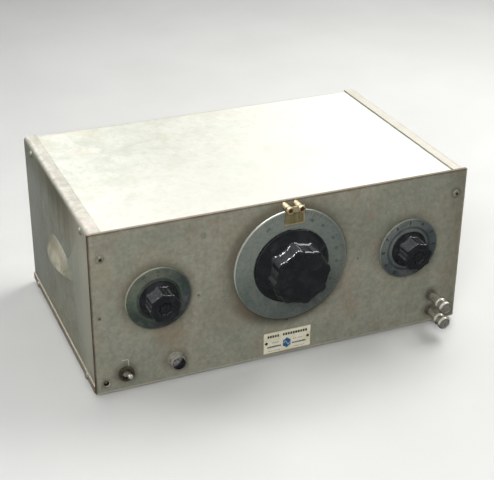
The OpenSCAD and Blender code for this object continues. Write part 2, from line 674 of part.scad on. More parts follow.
// Each transformer is a core between coils that stand out front and rear
module power_transformer() color([0.10, 0.10, 0.10]) place() union() {
  box(46, 122, 170, 202, deck_top, deck_top + 66);
  for (y = [150, 201]) box(52, 116, y, y + 21, deck_top, deck_top + 60);
}
module output_transformer() color([0.28, 0.22, 0.16]) place() union() {
  box(286, 330, 196, 220, deck_top, deck_top + 38);
  box(295, 321, 188, 228, deck_top + 7, deck_top + 31);
}
module filter_cans() color([0.76, 0.76, 0.74]) place() for (x = [150, 204])
  turned_z([x, 206], deck_top)
    polygon([[0, 0], [18.5, 0], [18.5, 3], [17.5, 4], [17.5, 70], [16, 72], [0, 72]]);

tube_base_h = 30;
bulb_h = 62;
glass_t = 1;
// Half section of a bulb, drawn in by "inset" at its side and top
function bulb_outline(radius, height, inset) = concat(
  [[0, 0], [radius * 0.8 - inset, 0], [radius * 0.8 - inset, height * 0.12],
    [radius - inset, height * 0.3], [radius - inset, height * 0.75]],
  [for (a = [15:15:75])
    [(radius - inset) * cos(a), height * 0.75 + (height * 0.25 - inset) * sin(a)]],
  [[0, height - inset]]);
module tube_glass() color([0.75, 0.80, 0.80, 0.35]) place() for (tube = tubes)
  turned_z(tube, deck_top + tube_base_h) difference() {
    polygon(bulb_outline(tube[2], bulb_h, 0));
    translate([0, glass_t]) polygon(bulb_outline(tube[2], bulb_h - glass_t, glass_t));
  }
module tube_bases() color([0.12, 0.08, 0.06]) place() for (tube = tubes) difference() {
  union() {
    rod_z(tube, deck_top, deck_top + 5, 17);
    rod_z(tube, deck_z - 6, deck_top + 1, 10.8);
    rod_z(tube, deck_top + 4, deck_top + tube_base_h, 14);
  }
  rod_z(tube, deck_top + 8, deck_top + 28, 12.6);
}
module stabiliser_lamp() color([0.80, 0.80, 0.76, 0.5]) place()
  turned_z(stabiliser_at, deck_z - 4)
    polygon(concat([[0, 0], [5.8, 0], [5.8, 5.6 + gap], [11, 5.6 + gap], [11, 18], [6.6, 20],
      [6.6, 30], [11, 40], [11, 46]], arc([0, 46], 11, 15, 75, 4), [[0, 57]]));
// Board with eight thin and four thick cylindrical components lying along x
module component_board() color([0.45, 0.30, 0.16]) place() {
  box(120, 290, 90, 200, board_z, board_top);
  for (i = [0:7]) let (x = 146 + (i % 2) * 8) rod_x([100 + i * 12, 28.8], x, x + 16, 2.6);
  for (i = [0:3]) rod_x([104 + i * 25, 34], 205, 245, 7.6);
}

// ---- mains cord ----
module cord_quarter() rotate_extrude(angle = 90, $fn = 96)
  translate([cord_bend, 0]) circle(r = cord_r, $fn = 32);
// The cord leaves to the rear, drops to the bench and runs left to the plug
module power_cord() color([0.10, 0.09, 0.08]) place() union() {
  rod_y(cord_at, cab_d - 8, cord_y - cord_bend, cord_r);
  translate([cord_x, cord_y - cord_bend, cord_at[1] - cord_bend])
    rotate([90, 0, 90]) cord_quarter();
  rod_z([cord_x, cord_y], plug_z + cord_bend, cord_at[1] - cord_bend, cord_r);
  translate([cord_x - cord_bend, cord_y, plug_z + cord_bend])
    rotate([-90, 0, 0]) cord_quarter();
  rod_x([cord_y, plug_z], plug_x + 32, cord_x - cord_bend, cord_r);
}
module cord_grommet() color([0.08, 0.08, 0.08]) place() turned_y(cord_at, 64)
  polygon([[cord_r + 0.04, -cab_d + 1.5], [6.6, -cab_d + 1.5], [7.2, -cab_d + 0.6],
    [7.2, -cab_d], [4.95, -cab_d], [4.95, -rear_face], [7.2, -rear_face],
    [7.2, -rear_face + gap - 0.8], [6, -rear_face + gap - 2.4],
    [cord_r + 0.04, -rear_face + gap - 2.4]]);
module mains_plug() color([0.10, 0.07, 0.06]) place() difference() {
  union() {
    translate([plug_x, cord_y, plug_z]) rotate([0, 90, 0]) rotate_extrude($fn = 64)
      polygon([[0, 0], [plug_r - 0.6, 0], [plug_r, 0.8], [plug_r, 12], [7.2, 24], [6, 25],
        [5.6, 44], [0, 44]]);
    for (side = [-1, 1]) translate([plug_x, cord_y + side * 6.35, plug_z])
      box(-17, 1, -0.75, 0.75, -3.15, 3.15);
  }
  rod_x([cord_y, plug_z], plug_x + 30, plug_x + 52, cord_r + 0.04);
}

front_panel();
end_plate_left();
end_plate_right();
top_cover();
rear_cover();
bottom_tray();
feet();
panel_screws();
cabinet_screws();
main_dial();
dial_plate();
tuning_knob();
tuning_shaft();
tuning_bushing();
panel_nuts();
shaft_coupling();
coupling_disc();
capacitor_frame();
capacitor_stators();
capacitor_rotor();
capacitor_insulators();
index_pillars();
index_plate();
index_bracket();
index_screws();
range_knob();
range_dial();
range_shaft();
range_switch_frame();
range_wafers();
level_knob();
level_dial();
level_shaft();
level_pot();
toggle_body();
toggle_nut();
toggle_lever();
pilot_bezel();
pilot_jewel();
pilot_bulb();
pilot_socket();
post_studs();
post_bases();
post_washer_upper();
post_washer_lower();
post_cap_upper();
post_cap_lower();
nameplate();
nameplate_rivets();
chassis();
power_transformer();
output_transformer();
filter_cans();
tube_glass();
tube_bases();
stabiliser_lamp();
component_board();
power_cord();
cord_grommet();
mains_plug();
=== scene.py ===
# An old grey bench instrument: sheet-metal cabinet, one large tuning dial, a small dial on each
# side of it, a toggle switch, a pilot jewel, a nameplate and two terminal posts.
# Metres, +Z up. The front panel faces -Y and its left edge is at low X.
import bpy
import bmesh
import math
import random
from mathutils import Matrix, Vector

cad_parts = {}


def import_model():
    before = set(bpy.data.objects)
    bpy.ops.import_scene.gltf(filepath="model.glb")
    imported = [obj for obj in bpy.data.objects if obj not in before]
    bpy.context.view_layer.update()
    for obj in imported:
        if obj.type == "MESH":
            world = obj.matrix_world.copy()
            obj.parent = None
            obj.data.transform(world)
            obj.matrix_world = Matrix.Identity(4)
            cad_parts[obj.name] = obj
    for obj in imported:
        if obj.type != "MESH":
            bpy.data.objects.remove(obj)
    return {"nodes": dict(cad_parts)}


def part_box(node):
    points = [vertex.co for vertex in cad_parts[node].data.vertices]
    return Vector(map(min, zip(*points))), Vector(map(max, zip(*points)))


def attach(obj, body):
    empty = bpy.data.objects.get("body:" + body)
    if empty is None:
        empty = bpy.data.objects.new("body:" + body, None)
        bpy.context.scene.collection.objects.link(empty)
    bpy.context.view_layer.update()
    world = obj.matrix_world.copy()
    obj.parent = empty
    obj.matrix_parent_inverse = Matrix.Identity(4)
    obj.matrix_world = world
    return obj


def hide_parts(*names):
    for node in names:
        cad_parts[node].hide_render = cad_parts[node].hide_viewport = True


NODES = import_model()["nodes"]
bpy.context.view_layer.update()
SCENE = bpy.context.scene
MATERIALS = {}
random.seed(7)

# ------------------------------------------------------------------ driving places
PANEL_LOW, PANEL_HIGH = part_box("front_panel")
ORIGIN_X = PANEL_LOW.x + 0.001


def point(x, y, z):
    """Place in mm: x from the cabinet's left edge, y from the panel's front, z from its underside."""
    return Vector((ORIGIN_X + x / 1000, PANEL_LOW.y + y / 1000, PANEL_LOW.z + z / 1000))


def box_centre(node):
    low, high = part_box(node)
    return (low + high) / 2


def box_radius(node):
    low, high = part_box(node)
    return (high.x - low.x) / 2


MAIN_CENTRE, LEFT_CENTRE, RIGHT_CENTRE = map(box_centre, ("main_dial", "range_dial", "level_dial"))
MAIN_RADIUS = box_radius("main_dial")
SMALL_RADIUS = box_radius("range_dial")
PANEL_HOLE = point(10, 0, 11)  # the open hole in the lower left corner
PANEL_SCREWS = [point(10, 0, 151), point(396.4, 0, 151), point(396.4, 0, 11)]
POSTS = [point(376.2, 0, 33.425), point(376.2, 0, 14.375)]


def link_object(name, data):
    item = bpy.data.objects.new(name, data)
    SCENE.collection.objects.link(item)
    return item


# ------------------------------------------------------------------ shader graphs
def linear(color):
    """Whole numbers are 0-255 sRGB and are converted; floats are linear light already."""
    if not isinstance(color[0], int):
        return color
    values = [v / 255 for v in color]
    return tuple(v / 12.92 if v <= 0.04045 else ((v + 0.055) / 1.055) ** 2.4 for v in values)


def scaled(color, factor):
    return tuple(v * factor for v in linear(color))


class Signal:
    """A shader socket; every operator applied to it adds a math node."""

    def __init__(self, graph, socket):
        self.graph = graph
        self.socket = socket

    def __add__(self, other):
        return self.graph.math("ADD", self, other)

    def __sub__(self, other):
        return self.graph.math("SUBTRACT", self, other)

    def __rsub__(self, other):
        return self.graph.math("SUBTRACT", other, self)

    def __mul__(self, other):
        return self.graph.math("MULTIPLY", self, other)

    def __truediv__(self, other):
        return self.graph.math("DIVIDE", self, other)

    def __abs__(self):
        return self.graph.math("ABSOLUTE", self)

    def ramp(self, low, high, start=0.0, end=1.0):
        """Smooth step that runs from start to end while the signal runs from low to high."""
        inputs = dict(enumerate((self, low, high, start, end)))
        return self.graph.signal("ShaderNodeMapRange", inputs,
                                 interpolation_type="SMOOTHSTEP", clamp=True)


class Graph:
    """Builds nodes in a shader tree."""

    def __init__(self, tree):
        self.tree = tree

    def feed(self, socket, value):
        if isinstance(value, Signal):
            self.tree.links.new(value.socket, socket)
        elif socket.type == "RGBA":
            socket.default_value = (*linear(value), 1)
        else:
            socket.default_value = value

    def node(self, kind, inputs=None, **settings):
        node = self.tree.nodes.new(kind)
        for name, value in settings.items():
            setattr(node, name, value)
        for key, value in (inputs or {}).items():
            self.feed(node.inputs[key], value)
        return node

    def signal(self, kind, inputs=None, output=0, **settings):
        return Signal(self, self.node(kind, inputs, **settings).outputs[output])

    def math(self, operation, *values):
        return self.signal("ShaderNodeMath", dict(enumerate(values)), operation=operation)

    def split(self, vector):
        node = self.node("ShaderNodeSeparateXYZ", {0: vector})
        return [Signal(self, socket) for socket in node.outputs]


class Material(Graph):
    """Principled material whose colour is laid on in coats over a first colour."""

    def __init__(self, name, color):
        self.data = bpy.data.materials.new(name)
        self.data.use_nodes = True
        super().__init__(self.data.node_tree)
        self.tree.nodes.clear()
        output = self.node("ShaderNodeOutputMaterial")
        self.shader = self.node("ShaderNodeBsdfPrincipled")
        self.tree.links.new(self.shader.outputs[0], output.inputs["Surface"])
        self.coords = self.signal("ShaderNodeTexCoord", output="Object")
        self.color = color
        MATERIALS[name] = self.data

    def mix(self, mask, under, over):
        inputs = {0: mask, 6: under, 7: over}
        return self.signal("ShaderNodeMix", inputs, 2, data_type="RGBA", clamp_factor=True)

    def coat(self, mask, color):
        self.color = self.mix(mask, self.color, color)

    def finish(self, **inputs):
        """Connects the colour and sets Principled inputs, an underscore standing for a space."""
        self.feed(self.shader.inputs["Base Color"], self.color)
        for name, value in inputs.items():
            self.feed(self.shader.inputs[name.replace("_", " ")], value)

    def bump(self, height, strength, distance=0.0004):
        inputs = {"Strength": strength, "Distance": distance, "Height": height}
        self.feed(self.shader.inputs["Normal"], self.signal("ShaderNodeBump", inputs))

    def stretched(self, stretch):
        if not stretch:
            return self.coords
        return self.signal("ShaderNodeMapping", {"Vector": self.coords, "Scale": stretch})

    def noise(self, scale, detail=4, rough=0.55, warp=0.0, stretch=None, offset=0.0):
        inputs = {"Vector": self.stretched(stretch), "W": offset, "Scale": scale,
                  "Detail": detail, "Roughness": rough, "Distortion": warp}
        return self.signal("ShaderNodeTexNoise", inputs, "Fac", noise_dimensions="4D")

    def dots(self, scale, radius, stretch=None):
        """Soft dots of the given radius, one in each cell."""
        inputs = {"Vector": self.stretched(stretch), "Scale": scale}
        cells = self.signal("ShaderNodeTexVoronoi", inputs, "Distance")
        return cells.ramp(0.0, radius, 1, 0)

    def spots(self, scale, radius, patch, stretch=None, offset=5, detail=2):
        """Dots kept only in patches; patch is (noise scale, ramp low, ramp high)."""
        patch_scale, low, high = patch
        patches = self.noise(patch_scale, detail, offset=offset).ramp(low, high)
        return self.dots(scale, radius, stretch) * patches

    def scratches(self, stretch, line, patch, scale=3.4, warp=0.2, offset=20, patch_offset=30):
        """Hairlines kept in patches; line is a ramp, patch is (noise scale, ramp low)."""
        lines = self.noise(scale, 2, 0.5, warp, stretch, offset).ramp(*line)
        patch_scale, low = patch
        return lines * self.noise(patch_scale, 2, offset=patch_offset).ramp(low, 0.6)

    def scratch_coats(self, stretches, amount, color, **look):
        for i, stretch in enumerate(stretches):
            lines = self.scratches(stretch, offset=20 + i, patch_offset=30 + i, **look)
            self.coat(lines * amount, color)

    def grain(self, scale, low, high, amount, dark=(0.02, 0.02, 0.018)):
        """Very fine dark speckle over the colour so far; returns its noise."""
        fine = self.noise(scale, detail=3, rough=0.6)
        self.coat(fine.ramp(low, high, 0.0, amount), self.mix(0.5, self.color, dark))
        return fine

    def relief(self, fine, broad, pits, strength):
        """Uneven paint surface; fine and broad are (noise scale, weight)."""
        height = self.noise(fine[0], detail=4, rough=0.6) * fine[1]
        height = height + self.noise(broad[0], detail=3, rough=0.5) * broad[1]
        self.bump(height - pits, strength)

    def xyz(self):
        return self.split(self.coords)

    def geometry(self, output):
        return self.split(self.signal("ShaderNodeNewGeometry", output=output))

    def length(self, across, up):
        return self.math("SQRT", across * across + up * up)

    def from_axis(self, centre):
        """Distance of the shading point from the axis along Y through centre."""
        x, _, z = self.xyz()
        return self.length(x - centre.x, z - centre.z)

    def least(self, values):
        result = values[0]
        for value in values[1:]:
            result = self.math("MINIMUM", result, value)
        return result

    def from_edge(self, low, high, axes):
        """Distance of the shading point from the nearest edge of a box face."""
        place = self.xyz()
        return self.least([d for a in axes for d in (place[a] - low[a], high[a] - place[a])])


# ------------------------------------------------------------------ cabinet paints
# painted shade for whatever shows through the open corner hole
PAINTED_HOLE_SHADE = (0.006, 0.005, 0.004)

# handling dirt and painted contact shade on the panel round controls and fixings: centre, radius,
# strength, fade width
GRIME_AND_SHADE_HALOS = (
    (MAIN_CENTRE, 0.0606, 0.46, 0.009), (MAIN_CENTRE, 0.0600, 0.20, 0.022),
    (LEFT_CENTRE, 0.0325, 0.40, 0.012), (RIGHT_CENTRE, 0.0325, 0.30, 0.012),
    (PANEL_HOLE, 0.0030, 0.55, 0.004),
    (PANEL_SCREWS[0], 0.0042, 0.40, 0.003), (PANEL_SCREWS[1], 0.0042, 0.55, 0.004),
    (point(30.5, 0, 18), 0.0075, 0.62, 0.009), (point(83.3, 0, 22.2), 0.0088, 0.42, 0.008),
    (point(376.2, 0, 33.4), 0.0060, 0.40, 0.007), (point(376.2, 0, 14.4), 0.0060, 0.45, 0.007),
)
# single stains, smudges and knocks on the panel: centre, radius, strength, colour
PANEL_MARKS = (
    (point(78, 0, 52), 0.024, 0.42, (130, 108, 86)),
    (point(150, 0, 60), 0.030, 0.22, (140, 118, 100)),
    (point(113.8, 0, 156.2), 0.0052, 0.50, (104, 104, 96)),
    (point(108.4, 0, 90.6), 0.0018, 0.75, (98, 66, 44)),
    (point(284.1, 0, 96.2), 0.0016, 0.80, (74, 62, 48)),
    (point(6.5, 0, 86.3), 0.0024, 0.80, (62, 52, 40)),
    (point(297.7, 0, 143.9), 0.010, 0.30, (146, 120, 108)),
    (point(12, 0, 130), 0.018, 0.30, (150, 140, 118)),
)


def panel_paint():
    mat = Material("panel_paint", (156, 154, 138))
    blotches = mat.noise(7, detail=5, rough=0.62, warp=0.6)
    middle = mat.noise(30, detail=6, rough=0.65, warp=0.4, offset=3.1)
    pink = mat.noise(13, detail=5, rough=0.66, warp=0.8, offset=8.2)
    green = mat.noise(19, detail=5, rough=0.62, warp=0.7, offset=11)
    soft = mat.noise(85, detail=5, rough=0.7, warp=0.3, offset=14)
    mottle = mat.noise(190, detail=6, rough=0.74, warp=0.4, offset=71)
    runs = mat.noise(5, rough=0.66, warp=0.3, stretch=(34, 34, 8), offset=74)
    mat.coat(blotches.ramp(0.36, 0.64), (139, 142, 129))
    mat.coat(pink.ramp(0.48, 0.68) * 0.50, (158, 139, 124))
    mat.coat(middle.ramp(0.47, 0.72) * 0.45, (146, 133, 113))
    mat.coat(green.ramp(0.50, 0.70) * 0.40, (126, 136, 119))
    mat.coat(soft.ramp(0.5, 0.75) * 0.30, (112, 108, 92))
    mat.coat(mottle.ramp(0.42, 0.66, 0, 0.34), (108, 104, 88))
    mat.coat(mottle.ramp(0.50, 0.32, 0, 0.30), (172, 168, 150))
    mat.coat(runs.ramp(0.50, 0.68, 0, 0.26), (122, 118, 100))
    fine = mat.grain(1100, 0.28, 0.72, 0.26)
    upright = mat.noise(3.0, detail=3, warp=0.15, stretch=(90, 90, 5), offset=4)
    mat.coat(upright.ramp(0.5, 0.8) * 0.20, (112, 106, 88))
    spots = mat.spots(170, radius=0.085, patch=(15, 0.52, 0.62))
    mat.coat(spots * 0.55, (66, 58, 46))
    pale = mat.spots(120, radius=0.06, patch=(21, 0.55, 0.6), stretch=(1.2, 1, 0.8), offset=7)
    mat.coat(pale * 0.55, (184, 180, 162))
    mat.scratch_coats(((5, 5, 240), (230, 230, 8)), 0.32, (182, 180, 165),
                      line=(0.735, 0.76), patch=(17, 0.52))

    # handling dirt and painted contact shade round the controls, a painted shadow below the main dial
    # and painted shade towards the right edge
    wander = (middle - 0.5) * 0.010
    for centre, radius, strength, width in GRIME_AND_SHADE_HALOS:
        distance = mat.from_axis(centre) + wander
        mat.coat(distance.ramp(radius, radius + width, strength, 0), (88, 80, 64))
    x, _, z = mat.xyz()
    # painted shadow that the main dial casts on the panel below it
    distance = mat.from_axis(MAIN_CENTRE)
    below = ((MAIN_CENTRE.z - z) / (distance + 1e-5)).ramp(0.25, 0.85)
    mat.coat(below * (distance + wander * 0.5).ramp(0.0670, 0.0800, 0.80, 0), (66, 62, 51))
    # painted shade: the panel darkens towards its right edge
    right = (PANEL_HIGH.x - x) + wander * 1.5
    mat.coat(right.ramp(0.002, 0.030, 0.40, 0), (92, 88, 72))
    for centre, radius, strength, color in PANEL_MARKS:
        distance = mat.from_axis(centre) + (soft - 0.5) * (radius * 1.1)
        mat.coat(distance.ramp(radius * 0.35, radius, strength, 0), color)

    # ragged wear along the four edges of the face
    x, _, z = mat.xyz()
    wander = (mat.noise(45, detail=5, rough=0.75, offset=2) - 0.5) * 0.0034
    rust = mat.noise(40, rough=0.7, offset=41).ramp(0.42, 0.6)
    left = ((x - PANEL_LOW.x) + wander).ramp(0.0002, 0.0024, 1, 0)
    mat.coat(left * 0.85, mat.mix(rust, (92, 62, 40), (58, 52, 42)))
    mat.coat(((PANEL_HIGH.z - z) + wander).ramp(0.0002, 0.0030, 0.80, 0), (94, 78, 58))
    mat.coat(((z - PANEL_LOW.z) + wander).ramp(0.0, 0.0022, 0.8, 0), (178, 172, 152))
    mat.coat(((PANEL_HIGH.x - x) + wander).ramp(0.0, 0.0020, 0.6, 0), (170, 164, 146))
    # the sheet's cut sides are rusty and painted dark as shade
    normal_x = mat.geometry("Normal")[0]
    rust = mat.noise(55, rough=0.7, offset=44).ramp(0.4, 0.62)
    mat.coat(abs(normal_x).ramp(0.6, 0.8), mat.mix(rust, (72, 48, 32), (44, 38, 32)))
    # the corner hole: painted shade blacks out its inside and a painted highlight brightens the rim
    # on its lower right
    hole = mat.from_axis(PANEL_HOLE)
    painted_lip_highlight = mat.from_axis(point(10.9, 0, 10.1)).ramp(0.0029, 0.0033, 0.55, 0)
    mat.coat(painted_lip_highlight * hole.ramp(0.00280, 0.00292), (196, 192, 176))
    mat.coat(hole.ramp(0.00274, 0.00284, 1, 0), PAINTED_HOLE_SHADE)
    mat.finish(Metallic=0.15, Roughness=(middle + fine * 0.3).ramp(0.4, 1.0, 0.52, 0.70),
               Specular_IOR_Level=0.35)
    mat.relief(fine=(500, 0.5), broad=(60, 1.2), pits=spots, strength=0.14)


def cabinet_paint():
    """End plates: run marks, a darker band below the rolled top edge, a dark front edge partly
    painted as shadow, hand grips, and painted light on what faces up.
    """
    low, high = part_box("end_plate_left")
    top, bottom = high.z, low.z
    mat = Material("cabinet_paint", (153, 153, 137))
    x, y, z = mat.xyz()
    _, normal_y, normal_z = mat.geometry("Normal")
    streak = mat.noise(2.6, detail=5, rough=0.62, warp=0.2, stretch=(30, 30, 3.2))
    thin_streak = mat.noise(5, rough=0.62, warp=0.1, stretch=(62, 62, 3.4), offset=2)
    blotches = mat.noise(16, detail=5, rough=0.66, warp=0.6, offset=6)
    soft = mat.noise(9, detail=6, rough=0.68, warp=0.6, stretch=(1, 1, 0.6), offset=51)
    cloud = mat.noise(48, detail=6, rough=0.72, warp=0.5, offset=56)
    mottle = mat.noise(170, detail=6, rough=0.74, warp=0.4, offset=81)
    mat.coat(soft.ramp(0.36, 0.64), (130, 133, 118))
    mat.coat(streak.ramp(0.40, 0.64, 0, 0.16), (132, 131, 114))
    mat.coat(thin_streak.ramp(0.50, 0.72) * 0.09, (124, 118, 98))
    mat.coat(blotches.ramp(0.48, 0.68) * 0.42, (146, 136, 112))
    mat.coat(cloud.ramp(0.43, 0.66, 0, 0.48), (112, 108, 90))
    mat.coat(mottle.ramp(0.44, 0.66, 0, 0.32), (104, 98, 80))
    mat.coat(mottle.ramp(0.48, 0.32, 0, 0.30), (182, 180, 164))
    rear = y.ramp(0.03, 0.11) * z.ramp(top - 0.012, top - 0.05)
    mat.coat(rear * soft.ramp(0.32, 0.62, 0.20, 0.6), (144, 150, 145))

    # blue-green run marks, strongest at the front and fading downwards
    zone = y.ramp(-0.10, -0.03, 0.85, 0.35) * z.ramp(bottom, top - 0.03, 0.35, 1)
    blue = mat.noise(3.4, rough=0.6, warp=0.15, stretch=(44, 44, 3.0), offset=27)
    mat.coat(blue.ramp(0.40, 0.66) * soft.ramp(0.3, 0.6, 0.4, 1) * zone, (140, 148, 144))

    # a darker band that hangs in tongues below the rolled top edge
    drop = top - z
    mid_span = y.ramp(-0.115, -0.05, 0.55, 1) * y.ramp(0.10, 0.02, 0.35, 1)
    tongue = ((streak - 0.5) * 0.075 + (cloud - 0.5) * 0.030) - mid_span * 0.012
    dark_band = (drop + tongue).ramp(-0.006, 0.042, 0.85, 0) * mid_span
    mat.coat(dark_band * drop.ramp(0.0015, 0.0045, 0, 1),
             mat.mix(blotches.ramp(0.42, 0.62), (84, 82, 62), (104, 96, 72)))

    # front edge: paler towards the front, then a dark line where the panel meets the side, the paint
    # rubbed through and rusty, deepened by a painted shadow from the panel's overhang
    mat.coat(y.ramp(-0.02, -0.11) * soft.ramp(0.30, 0.60, 0.25, 0.75), (170, 168, 152))
    wander = (mat.noise(50, detail=5, rough=0.75, offset=33) - 0.5) * 0.004
    rust = mat.noise(36, rough=0.7, offset=34).ramp(0.42, 0.6)
    mat.coat(((y - PANEL_HIGH.y) + wander).ramp(0.0001, 0.0030, 0.90, 0),
             mat.mix(rust, (92, 58, 38), (54, 46, 38)))
    # painted shade: the end plate seen through the corner hole is blacked out
    hole = mat.from_axis(PANEL_HOLE)
    mat.coat(hole.ramp(0.0062, 0.0070, 1, 0) * normal_y.ramp(-0.5, -0.8), PAINTED_HOLE_SHADE)
    # bottom dirt line
    height = (z - bottom) + (streak - 0.5) * 0.02
    mat.coat(height.ramp(0.004, 0.020, 0.45, 0), (112, 98, 74))

    # painted light: what faces up, the rolled edge and its flange, takes the top cover's paler
    # colour, only dirtier, and is paler still on the right-hand plate
    dirt = mat.noise(60, detail=6, rough=0.72, warp=0.3, offset=8)
    brown = mat.noise(130, detail=5, rough=0.72, offset=18)
    pink = mat.noise(150, detail=5, rough=0.7, offset=28)
    front_end = y.ramp(low.y + 0.06, low.y - 0.01, 0, 0.5)
    pale = mat.mix(dirt.ramp(0.36, 0.66), (176, 173, 162), (144, 141, 129))
    pale = mat.mix(brown.ramp(0.50, 0.66, 0, 0.60), pale, (140, 134, 116))
    pale = mat.mix(front_end * pink.ramp(0.42, 0.6), pale, (176, 142, 136))
    pale = mat.mix(mat.dots(95, radius=0.10) * 0.5, pale, (112, 98, 74))
    pale = mat.mix(x.ramp(0.0, 0.1, 0, 0.55), pale, (204, 200, 188))
    mat.coat(normal_z.ramp(0.50, 0.85), pale)

    # hand grips stand outward: paint gone to a mottled cream, stained brown; a painted highlight
    # makes them paler towards the outer tip and where they face up
    wear = mat.noise(70, detail=5, rough=0.7, offset=12)
    ragged = (mat.noise(110, detail=5, rough=0.75, offset=61) - 0.5) * 0.0030
    outward = (abs(x) + ragged).ramp(0.2036, 0.2058)
    tip = abs(x).ramp(0.2060, 0.2105)
    stain = mat.noise(95, detail=5, rough=0.72, warp=0.4, offset=15)
    cream = mat.mix(wear.ramp(0.36, 0.62), (116, 117, 99), (138, 138, 120))
    cream = mat.mix(tip * 0.65, cream, (206, 204, 186))
    cream = mat.mix(stain.ramp(0.44, 0.56) * tip.ramp(0, 1, 0.80, 0.35), cream, (120, 98, 62))
    cream = mat.mix(normal_z.ramp(0.15, 0.6, 0, 0.40), cream, (150, 136, 104))
    worn_and_lit = wear.ramp(0.30, 0.50, 0.40, 0.92) * tip.ramp(0, 0.5, 0.55, 1)
    mat.coat(outward * worn_and_lit, cream)

    fine = mat.grain(1000, 0.30, 0.70, 0.24)
    spots = mat.spots(190, radius=0.085, patch=(16, 0.50, 0.62))
    mat.coat(spots * 0.6, (60, 50, 38))
    mat.scratch_coats(((6, 6, 250), (240, 240, 9)), 0.45, (180, 180, 168),
                      line=(0.72, 0.76), patch=(18, 0.5))
    mat.finish(Metallic=0.15, Roughness=(blotches + fine * 0.3).ramp(0.4, 1.0, 0.50, 0.70),
               Specular_IOR_Level=0.35)
    mat.relief(fine=(450, 0.5), broad=(50, 1.4), pits=spots, strength=0.16)


def top_paint():
    low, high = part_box("top_cover")
    # painted light: the cover's paint is made much paler than the panel's so the top reads brightly
    # lit from above
    mat = Material("top_paint", (208, 208, 197))
    x, y, _ = mat.xyz()
    blotches = mat.noise(8, detail=5, rough=0.62, warp=0.6)
    smudges = mat.noise(34, detail=6, rough=0.66, warp=0.5, offset=3)
    small = mat.noise(120, detail=6, rough=0.74, warp=0.4, offset=46)
    warm = mat.noise(17, detail=5, rough=0.66, warp=0.7, offset=9)
    mat.coat(blotches.ramp(0.36, 0.66), (196, 199, 187))
    # dirt gathers towards the back left corner
    back = y.ramp(low.y + 0.02, high.y) * 0.55 + x.ramp(high.x - 0.08, low.x) * 0.45
    mat.coat(smudges.ramp(0.36, 0.68) * back.ramp(0.2, 0.85, 0.14, 0.95), (172, 175, 160))
    mat.coat(small.ramp(0.46, 0.66) * back.ramp(0.1, 0.9, 0.18, 0.62), (164, 165, 148))
    mat.coat(warm.ramp(0.52, 0.70) * back.ramp(0.2, 0.9, 0.10, 0.50), (186, 174, 146))
    mat.grain(900, 0.30, 0.70, 0.12, dark=(0.05, 0.05, 0.045))
    spots = mat.spots(150, radius=0.075, patch=(14, 0.52, 0.6))
    mat.coat(spots * 0.40, (118, 108, 86))
    mat.scratch_coats(((6, 220, 220), (230, 5, 230), (150, 150, 8)), 0.36, (168, 164, 146),
                      line=(0.71, 0.75), patch=(13, 0.50), scale=3.0, warp=0.3)
    # painted light: darker to the left, paler to the right
    mat.coat(x.ramp(low.x + 0.02, high.x - 0.06, 0.20, 0), (176, 177, 166))
    mat.coat(x.ramp(low.x + 0.12, high.x - 0.03, 0, 0.55), (232, 232, 226))
    inset = 0.0118  # the painted shadow line runs this far in from the cover's sides
    # painted shadow line at the step where the flanges lap over the cover
    edge = mat.from_edge((low.x + inset, low.y), (high.x - inset, high.y), (0, 1))
    wander = (mat.noise(60, rough=0.7, offset=2) - 0.5) * 0.005
    mat.coat((edge + wander * 0.3).ramp(0.0003, 0.0015, 0.85, 0), (142, 122, 100))
    mat.finish(Metallic=0.05, Roughness=smudges.ramp(0.3, 0.8, 0.46, 0.66),
               Specular_IOR_Level=0.35)
    mat.relief(fine=(450, 0.5), broad=(55, 1.4), pits=spots * 0.8, strength=0.14)


def rear_paint():
    """Broad blotches, warm stains, rubbed patches, speckle and scratches."""
    even = (1, 1, 1)
    light = (168, 167, 154)
    mat = Material("rear_paint", (136, 135, 122))
    blotches = mat.noise(9, detail=5, rough=0.6, warp=0.4, stretch=even)
    middle = mat.noise(38, detail=6, rough=0.62, warp=0.3, stretch=even, offset=3.1)
    rubbed = mat.noise(14, detail=7, rough=0.7, warp=0.8, stretch=even, offset=9.4)
    mat.coat(blotches.ramp(0.38, 0.66), (122, 125, 116))
    mat.coat(middle.ramp(0.5, 0.72) * 0.385, (140, 122, 98))
    mat.coat(rubbed.ramp(0.55, 0.75) * 0.45, light)
    fine = mat.grain(900, 0.30, 0.70, 0.22)
    spots = mat.spots(210, radius=0.085, patch=(16, 0.55, 0.62))
    mat.coat(spots * 0.55, (0.045, 0.038, 0.028))
    pale = mat.spots(150, radius=0.06, patch=(22, 0.56, 0.6), stretch=(1.3, 1, 0.8), offset=7)
    mat.coat(pale * 0.5, light)
    mat.scratch_coats(((6, 6, 260), (240, 240, 9)), 0.35, light,
                      line=(0.735, 0.76), patch=(20, 0.52))
    mat.finish(Metallic=0.25, Roughness=(middle + fine * 0.3).ramp(0.4, 1.0, 0.47, 0.71))
    mat.relief(fine=(420, 0.6), broad=(70, 1.2), pits=spots * 0.8, strength=0.16)


